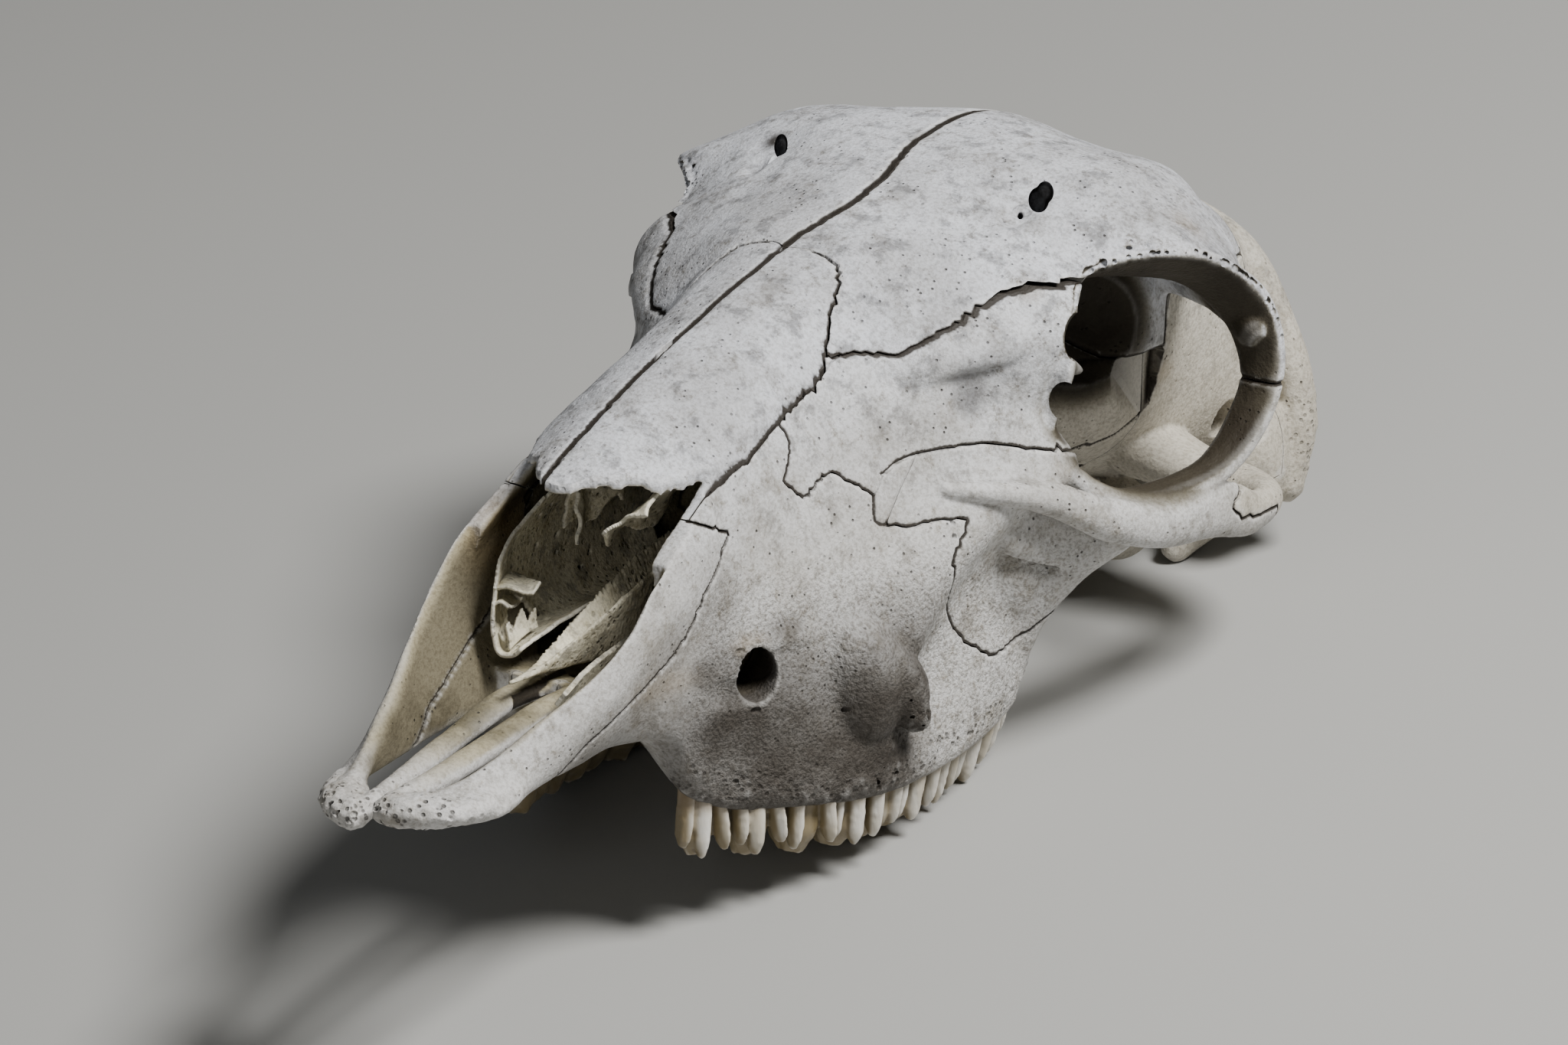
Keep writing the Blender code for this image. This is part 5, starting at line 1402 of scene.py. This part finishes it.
def sheetFrom(name, grid, gone):  # a thin sheet over a grid of points, without those that are gone
    rows, columns = grid.shape[:2]
    flat = grid.reshape(-1, 3)
    gone = gone.reshape(-1)
    shape = bmesh.new()
    corners = [shape.verts.new(Vector(p) * mm) for p in flat]
    for i in range(rows - 1):
        for j in range(columns - 1):
            k = i * columns + j
            four = (k, k + 1, k + columns + 1, k + columns)
            if not (gone[four[0]] or gone[four[1]] or gone[four[2]] or gone[four[3]]):
                shape.faces.new([corners[n] for n in four])
    bmesh.ops.delete(shape, geom=[v for v in shape.verts if not v.link_faces], context="VERTS")
    mesh = bpy.data.meshes.new(name)
    shape.to_mesh(mesh)
    shape.free()
    obj = bpy.data.objects.new(name, mesh)
    bpy.context.collection.objects.link(obj)
    largestOnly(obj)
    return obj


def thickened(obj, thick, passes=2):
    wall = obj.modifiers.new("wall", "SOLIDIFY")
    wall.thickness = thick * mm
    wall.offset = 0
    soften = obj.modifiers.new("soften", "SMOOTH")
    soften.factor = 0.5
    soften.iterations = passes
    applyAll(obj)


def finishThin(obj, node, tone):  # tone: from 0, lit cream bone, to 1, dark brown lining, which is partly painted shade
    choose(obj)
    bpy.ops.object.mode_set(mode="EDIT")
    bpy.ops.mesh.select_all(action="SELECT")
    bpy.ops.mesh.normals_make_consistent(inside=False)
    bpy.ops.object.mode_set(mode="OBJECT")
    points = pointsOf(obj)
    count = len(points)
    setMask(obj, "hollow", hollowness(obj, 6, 0.5))
    setMask(obj, "inner", np.full(count, tone))
    setMask(obj, "porous", 0.35 + 0.4 * noiseAt(points, 6, 71))
    setMask(obj, "warm", np.full(count, 0.5))
    for name in ("stainAndShade", "seam", "smudge", "ochre", "grained", "paintedShade"):
        setMask(obj, name, np.zeros(count))
    obj.data.materials.append(boneMaterials["thin"])
    choose(obj)
    bpy.ops.object.shade_smooth()
    placePiece(obj, node)


def bowlPoint(y, t):  # t: 0 at the lip, 1 at the top; the right scroll, so x is below zero
    lip, depth = curveAt(scrolls["bowl"], y).T
    line = np.array((
        (0.0, -6.6, 0.9), (0.07, -7.8, -0.4), (0.16, -10, -0.9), (0.3, -11.6, 2.6), (0.5, -11.8, 9.5),
        (0.7, -11.2, 16.5), (0.86, -9.6, 22), (1.0, -7.2, 25.5),
    ))
    x, z = curveAt(line, t).T
    sunk = np.sin(np.pi * np.clip(t * 1.05, 0, 1)) ** 0.7
    return np.column_stack([x - depth * sunk + 1.2, y, lip + z])


def makeRightScroll():
    rows = np.arange(55.5, 108.1, scrolls["stepAlong"])
    yy, tt = spread(rows, scrolls["columns"])
    flat = bowlPoint(yy.ravel(), tt.ravel())
    front = np.interp(flat[:, 2], *np.array(scrolls["front"]).T)
    ragged = 0.5 * noiseAt(flat * (0, 1, 1), 2.1, 61) + 0.3 * noiseAt(flat, 0.9, 62)
    gone = flat[:, 1] < front + np.maximum(ragged, -0.3)
    high = rise(50, 60, flat[:, 2] - 0.16 * (flat[:, 1] - 56))
    gone |= pitsAt(flat, 1.5, 63, 0.95) < 0.06 + 0.16 * high + 0.08 * rise(0, 0.6, noiseAt(flat, 5, 64))
    gone |= (tt.ravel() > 0.93 + 0.06 * noiseAt(flat * (0, 1, 0), 2.2, 65))
    gone |= np.linalg.norm((flat - (-11, 66, 38)) / (3, 4.5, 2.6), axis=1) < 1 + 0.2 * noiseAt(flat, 1.6, 66)
    flat += np.column_stack([0.3 * noiseAt(flat, 4, 67), 0 * front, 0.3 * noiseAt(flat, 4, 68)])
    obj = sheetFrom("scrollRight", flat.reshape(*tt.shape, 3), gone)
    thickened(obj, scrolls["thick"])
    finishThin(obj, "turbinate_right", 0.0)


def makeFlakes():  # broken plates that stand inside the right scroll's front
    plates = (
        # two ends of the fixed edge, how far the plate stands out, ragged edge, seed
        ("flakeUpper", ((-11.4, 57.2, 43.4), (-13.2, 64.5, 44.8)), (6.4, 1.2, 0.4), 1.5, 81),
        ("flakeBar", ((-11, 56.4, 41), (-13.4, 66, 40.6)), (3.0, 0.8, 0.3), 0.5, 82),
        ("flakeLip", ((-8.2, 57.4, 33.6), (-8.2, 65.5, 36)), (-1.2, 0.4, 4.6), 1.8, 83),
    )
    for name, (start, stop), out, jag, seed in plates:
        start, stop, out = np.array(start), np.array(stop), np.array(out)
        rows, columns = 40, 24
        grid = np.empty((rows, columns, 3))
        gone = np.zeros((rows, columns), bool)
        for i in range(rows):
            a = i / (rows - 1)
            edge = 0.55 + 0.45 * math.sin(math.pi * min(1, 0.2 + a * 0.9)) + jag * 0.22 * float(
                noiseAt(np.array([[a * 6, seed, 0.5]]), 1, seed)[0])
            for j in range(columns):
                b = j / (columns - 1)
                grid[i, j] = start + (stop - start) * a + out * b + (0, 0, 0.5 * math.sin(5 * b + 3 * a))
                gone[i, j] = b > edge
        obj = sheetFrom(name, grid, gone)
        thickened(obj, 0.5, 1)
        finishThin(obj, "turbinate_right", 0.1)


def makeLeftScroll():  # what is left of it: a low plate on the wall and spongy bone under the nasal bone
    rows = np.arange(47, 96.1, 0.5)
    yy, tt = spread(rows, 40)
    low = np.interp(yy, (47, 60, 96), (29.4, 30, 32.6))
    high = np.interp(yy, (47, 52, 73, 96), (31.8, 34.6, 41.4, 46))
    x = np.interp(yy, (47, 60, 96), (8.4, 8.2, 9.6)) + 1.6 * tt ** 2 + 0.5 * np.sin(2.6 * tt)
    flat = np.column_stack([x.ravel(), yy.ravel(), (low + (high - low) * tt).ravel()])
    gone = tt.ravel() > 0.94 + 0.05 * noiseAt(flat * (0, 1, 0), 2.6, 91)
    gone |= pitsAt(flat, 2.4, 92, 0.3) < 0.13
    obj = sheetFrom("ledgeLeft", flat.reshape(*tt.shape, 3), gone)
    thickened(obj, 0.9)
    finishThin(obj, "turbinate_left", 0.0)
    rows = np.arange(62, 96.1, 0.3)
    yy, tt = spread(rows, 72)
    roof = roofAt(rows, tt)
    drop = np.interp(yy, (62, 66, 72, 80, 96), (6, 12, 15, 17, 19))
    x = 13.6 - 8.4 * np.sin(1.5 * tt) + 1.2 * np.sin(yy * 0.35)
    flat = np.column_stack([x.ravel(), yy.ravel(), (roof - 0.5 - 0.28 * x - drop * tt).ravel()])
    gone = pitsAt(flat, 1.5, 93, 0.9) < 0.12
    gone |= tt.ravel() > 0.84 + 0.16 * noiseAt(flat * (0, 1, 0), 3.2, 94)
    gone |= yy.ravel() < 63.4 + 1.6 * noiseAt(flat * (0, 0, 1), 2.4, 97)
    flat += np.column_stack([0.45 * noiseAt(flat, 2.2, 95), 0 * x.ravel(), 0.45 * noiseAt(flat, 2.2, 96)])
    obj = sheetFrom("spongeLeft", flat.reshape(*tt.shape, 3), gone)
    thickened(obj, 0.65, 1)
    finishThin(obj, "turbinate_left", 0.0)


def makeDeepSponge():  # spongy plates further in, under the roof on the right
    plates = ((-5.5, 66, 18, 16), (-9.5, 72, 20, 20), (-2.5, 74, 20, 16))
    for number, (x0, y0, reach, deep) in enumerate(plates):
        rows = np.arange(y0, y0 + reach, 0.33)
        yy, tt = spread(rows, 64)
        roof = roofAt(rows, tt)
        x = x0 + 2.4 * np.sin(2.2 * tt + number) + 1.2 * np.sin(yy * 0.5)
        flat = np.column_stack([x.ravel(), yy.ravel(), (roof - 0.5 - deep * tt).ravel()])
        gone = pitsAt(flat, 1.5, 101 + number, 0.9) < 0.12
        gone |= tt.ravel() > 0.88 + 0.12 * noiseAt(flat * (0, 1, 0), 3, 104 + number)
        gone |= yy.ravel() < y0 + 1.2 + 1.6 * noiseAt(flat * (0, 0, 1), 2.6, 107 + number)
        flat += np.column_stack([0.5 * noiseAt(flat, 2.4, 110), 0 * x.ravel(), 0.5 * noiseAt(flat, 2.4, 111)])
        obj = sheetFrom("spongeDeep" + str(number + 1), flat.reshape(*tt.shape, 3), gone)
        thickened(obj, 0.7, 1)
        finishThin(obj, "turbinate_right", 0.0)


def makeVomer():  # a trough in the middle, its two wings rising backwards
    rings = []
    for y in np.arange(46, 124.01, 1.0):
        low = np.interp(y, (46, 58, 76, 94, 112, 124), (31.6, 31.4, 30.5, 29, 29.5, 36))
        high = np.interp(y, (46, 52.5, 66, 86, 96, 112, 124), (31.9, 33, 38.4, 46.4, 48.6, 50, 51.5))
        wide = np.interp(y, (46, 52.5, 66, 86, 124), (0.5, 1.0, 2.3, 3.2, 3.0))
        tall = high - low
        line = [(0, low), (0.55, low + 0.3), (0.7 + 0.2 * wide, low + tall * 0.45), (wide + 0.2, high - 0.2)]
        inner = [(wide - 0.5, high), (wide - 0.75, high - 0.8), (0.2 * wide, low + tall * 0.5 + 0.4)]
        ring = line + inner + [(0, low + tall * 0.35)]
        ring = ring + [(-x, z) for x, z in (line + inner)[::-1] if x > 0]
        rings.append(np.array([(x, y, z) for x, z in ring]))
    obj = made("vomerBone", [skin(rings)])
    grownTogether(obj, 0.42, 2)
    points, normals = pointsOf(obj), normalsOf(obj)
    movePoints(obj, points + normals * (0.14 * noiseAt(points, 2.2, 71))[:, None])
    finishThin(obj, "vomer", 0.15)


def restTurn():  # the turn and shift that lay the skull down as the solids lie, read off the vomer
    turn = Matrix.Rotation(math.radians(-skull["restTilt"]), 4, "X")
    corners = [(x, y, z) for y, low, high in vomerSolid for x in (-0.9, 0.9) for z in (low, high)]
    turned = np.array([turn @ (Vector(p) * mm) for p in corners])
    low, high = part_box("vomer")
    shift = (np.array(low) + np.array(high)) / 2 - (turned.min(axis=0) + turned.max(axis=0)) / 2
    return Matrix.Translation(shift) @ turn


camera = {
    "place": (686.29, -984.71, 363.74), "lens": 179.58,
    "right": (0.84139, 0.536821, 0.062336), "up": (-0.178804, 0.167671, 0.969492),
    "back": (0.509992, -0.826867, 0.237062),
}


def makeCamera():
    data = bpy.data.cameras.new("camera")
    data.lens = camera["lens"]
    data.sensor_width = 36
    data.clip_end = 20
    obj = bpy.data.objects.new("camera", data)
    bpy.context.collection.objects.link(obj)
    axes = Matrix((camera["right"], camera["up"], camera["back"])).transposed().to_4x4()
    obj.matrix_world = restMatrix @ Matrix.Translation(Vector(camera["place"]) * mm) @ axes
    bpy.context.scene.camera = obj
    return obj


lights = {
    "key": {"place": (0.66, 0.12, 1.0), "size": 0.42, "power": 25, "tint": (1.0, 0.985, 0.955)},
    "sky": {"place": (0.1, -0.9, 1.0), "size": 0.9, "power": 0.8, "tint": (0.9, 0.95, 1.0)},
    "front": {"place": (0.3, -0.8, 0.4), "size": 0.25, "power": 0.8, "tint": (1.0, 0.97, 0.9)},
}

studio = {
    "floor": (0.38, 0.38, 0.37), "floorRoughness": 0.85, "floorSize": 14,
    "air": (0.8, 0.85, 0.9), "airLight": 0.025,
}


def makeLights():
    for name, light in lights.items():
        data = bpy.data.lights.new(name, "AREA")
        data.shape = "DISK"
        data.size = light["size"]
        data.energy = light["power"]
        data.color = light["tint"]
        obj = bpy.data.objects.new(name, data)
        obj.location = light["place"]
        aim = Vector((0, 0, 0.04)) - Vector(light["place"])
        obj.rotation_euler = aim.to_track_quat("-Z", "Y").to_euler()
        bpy.context.collection.objects.link(obj)
    world = bpy.data.worlds.new("studio")
    bpy.context.scene.world = world
    world.use_nodes = True
    air = world.node_tree.nodes["Background"]
    air.inputs["Color"].default_value = studio["air"] + (1,)
    air.inputs["Strength"].default_value = studio["airLight"]


def makeFloor():
    bpy.ops.object.select_all(action="DESELECT")
    bpy.ops.mesh.primitive_plane_add(size=studio["floorSize"], location=(0, 0, 0))
    floor = bpy.context.active_object
    floor.name = "floor"
    material, _, shader = newMaterial("paleFloor")
    shader.inputs["Base Color"].default_value = studio["floor"] + (1,)
    shader.inputs["Roughness"].default_value = studio["floorRoughness"]
    floor.data.materials.append(material)


restMatrix = restTurn()
makeCamera()
makeLights()
makeFloor()
boneMaterials = {kind: boneMaterial(kind) for kind in slotOfKind}
enamel = enamelMaterial()
print("camera, lights and finishes made")

edges = sutureLines()
fineLines = [edges[name] for name in edges if name not in ("lacrimalTop", "nasal", "middle")]
besideLines = [edges["lacrimalTop"]] + fineLines + [frontalFoot]
farEdge = [(x - (0.8 if y > 123 else 0.5), y) for x, y in edges["middle"]]  # the gap's other wall, also painted dark as shade
topLines = [edges["middle"], farEdge, edges["nasal"]]
seamGrids = {"side": distanceGrid(besideLines), "top": distanceGrid(topLines)}
body = wholeSkull()
print("skull grown,", len(body.data.polygons), "faces")
sculpted(body)
nicks = made("nicks", nickForms())
grownTogether(nicks, skull["nickVoxel"], 0)
cutBy(body, nicks)
print("holes and nicks cut")
for pieceName, bone in parted(body).items():
    node, kind = bonePieces[pieceName]
    maskBone(bone)
    bone.data.materials.clear()
    bone.data.materials.append(boneMaterials[kind])
    choose(bone)
    bpy.ops.object.shade_smooth_by_angle(angle=math.radians(40))
    placePiece(bone, node)
print("bones parted")
makeTeeth(1, "Left")
makeTeeth(-1, "Right")
print("teeth set")
makeRightScroll()
makeFlakes()
makeLeftScroll()
makeDeepSponge()
makeVomer()
print("thin bones inside the nose made")
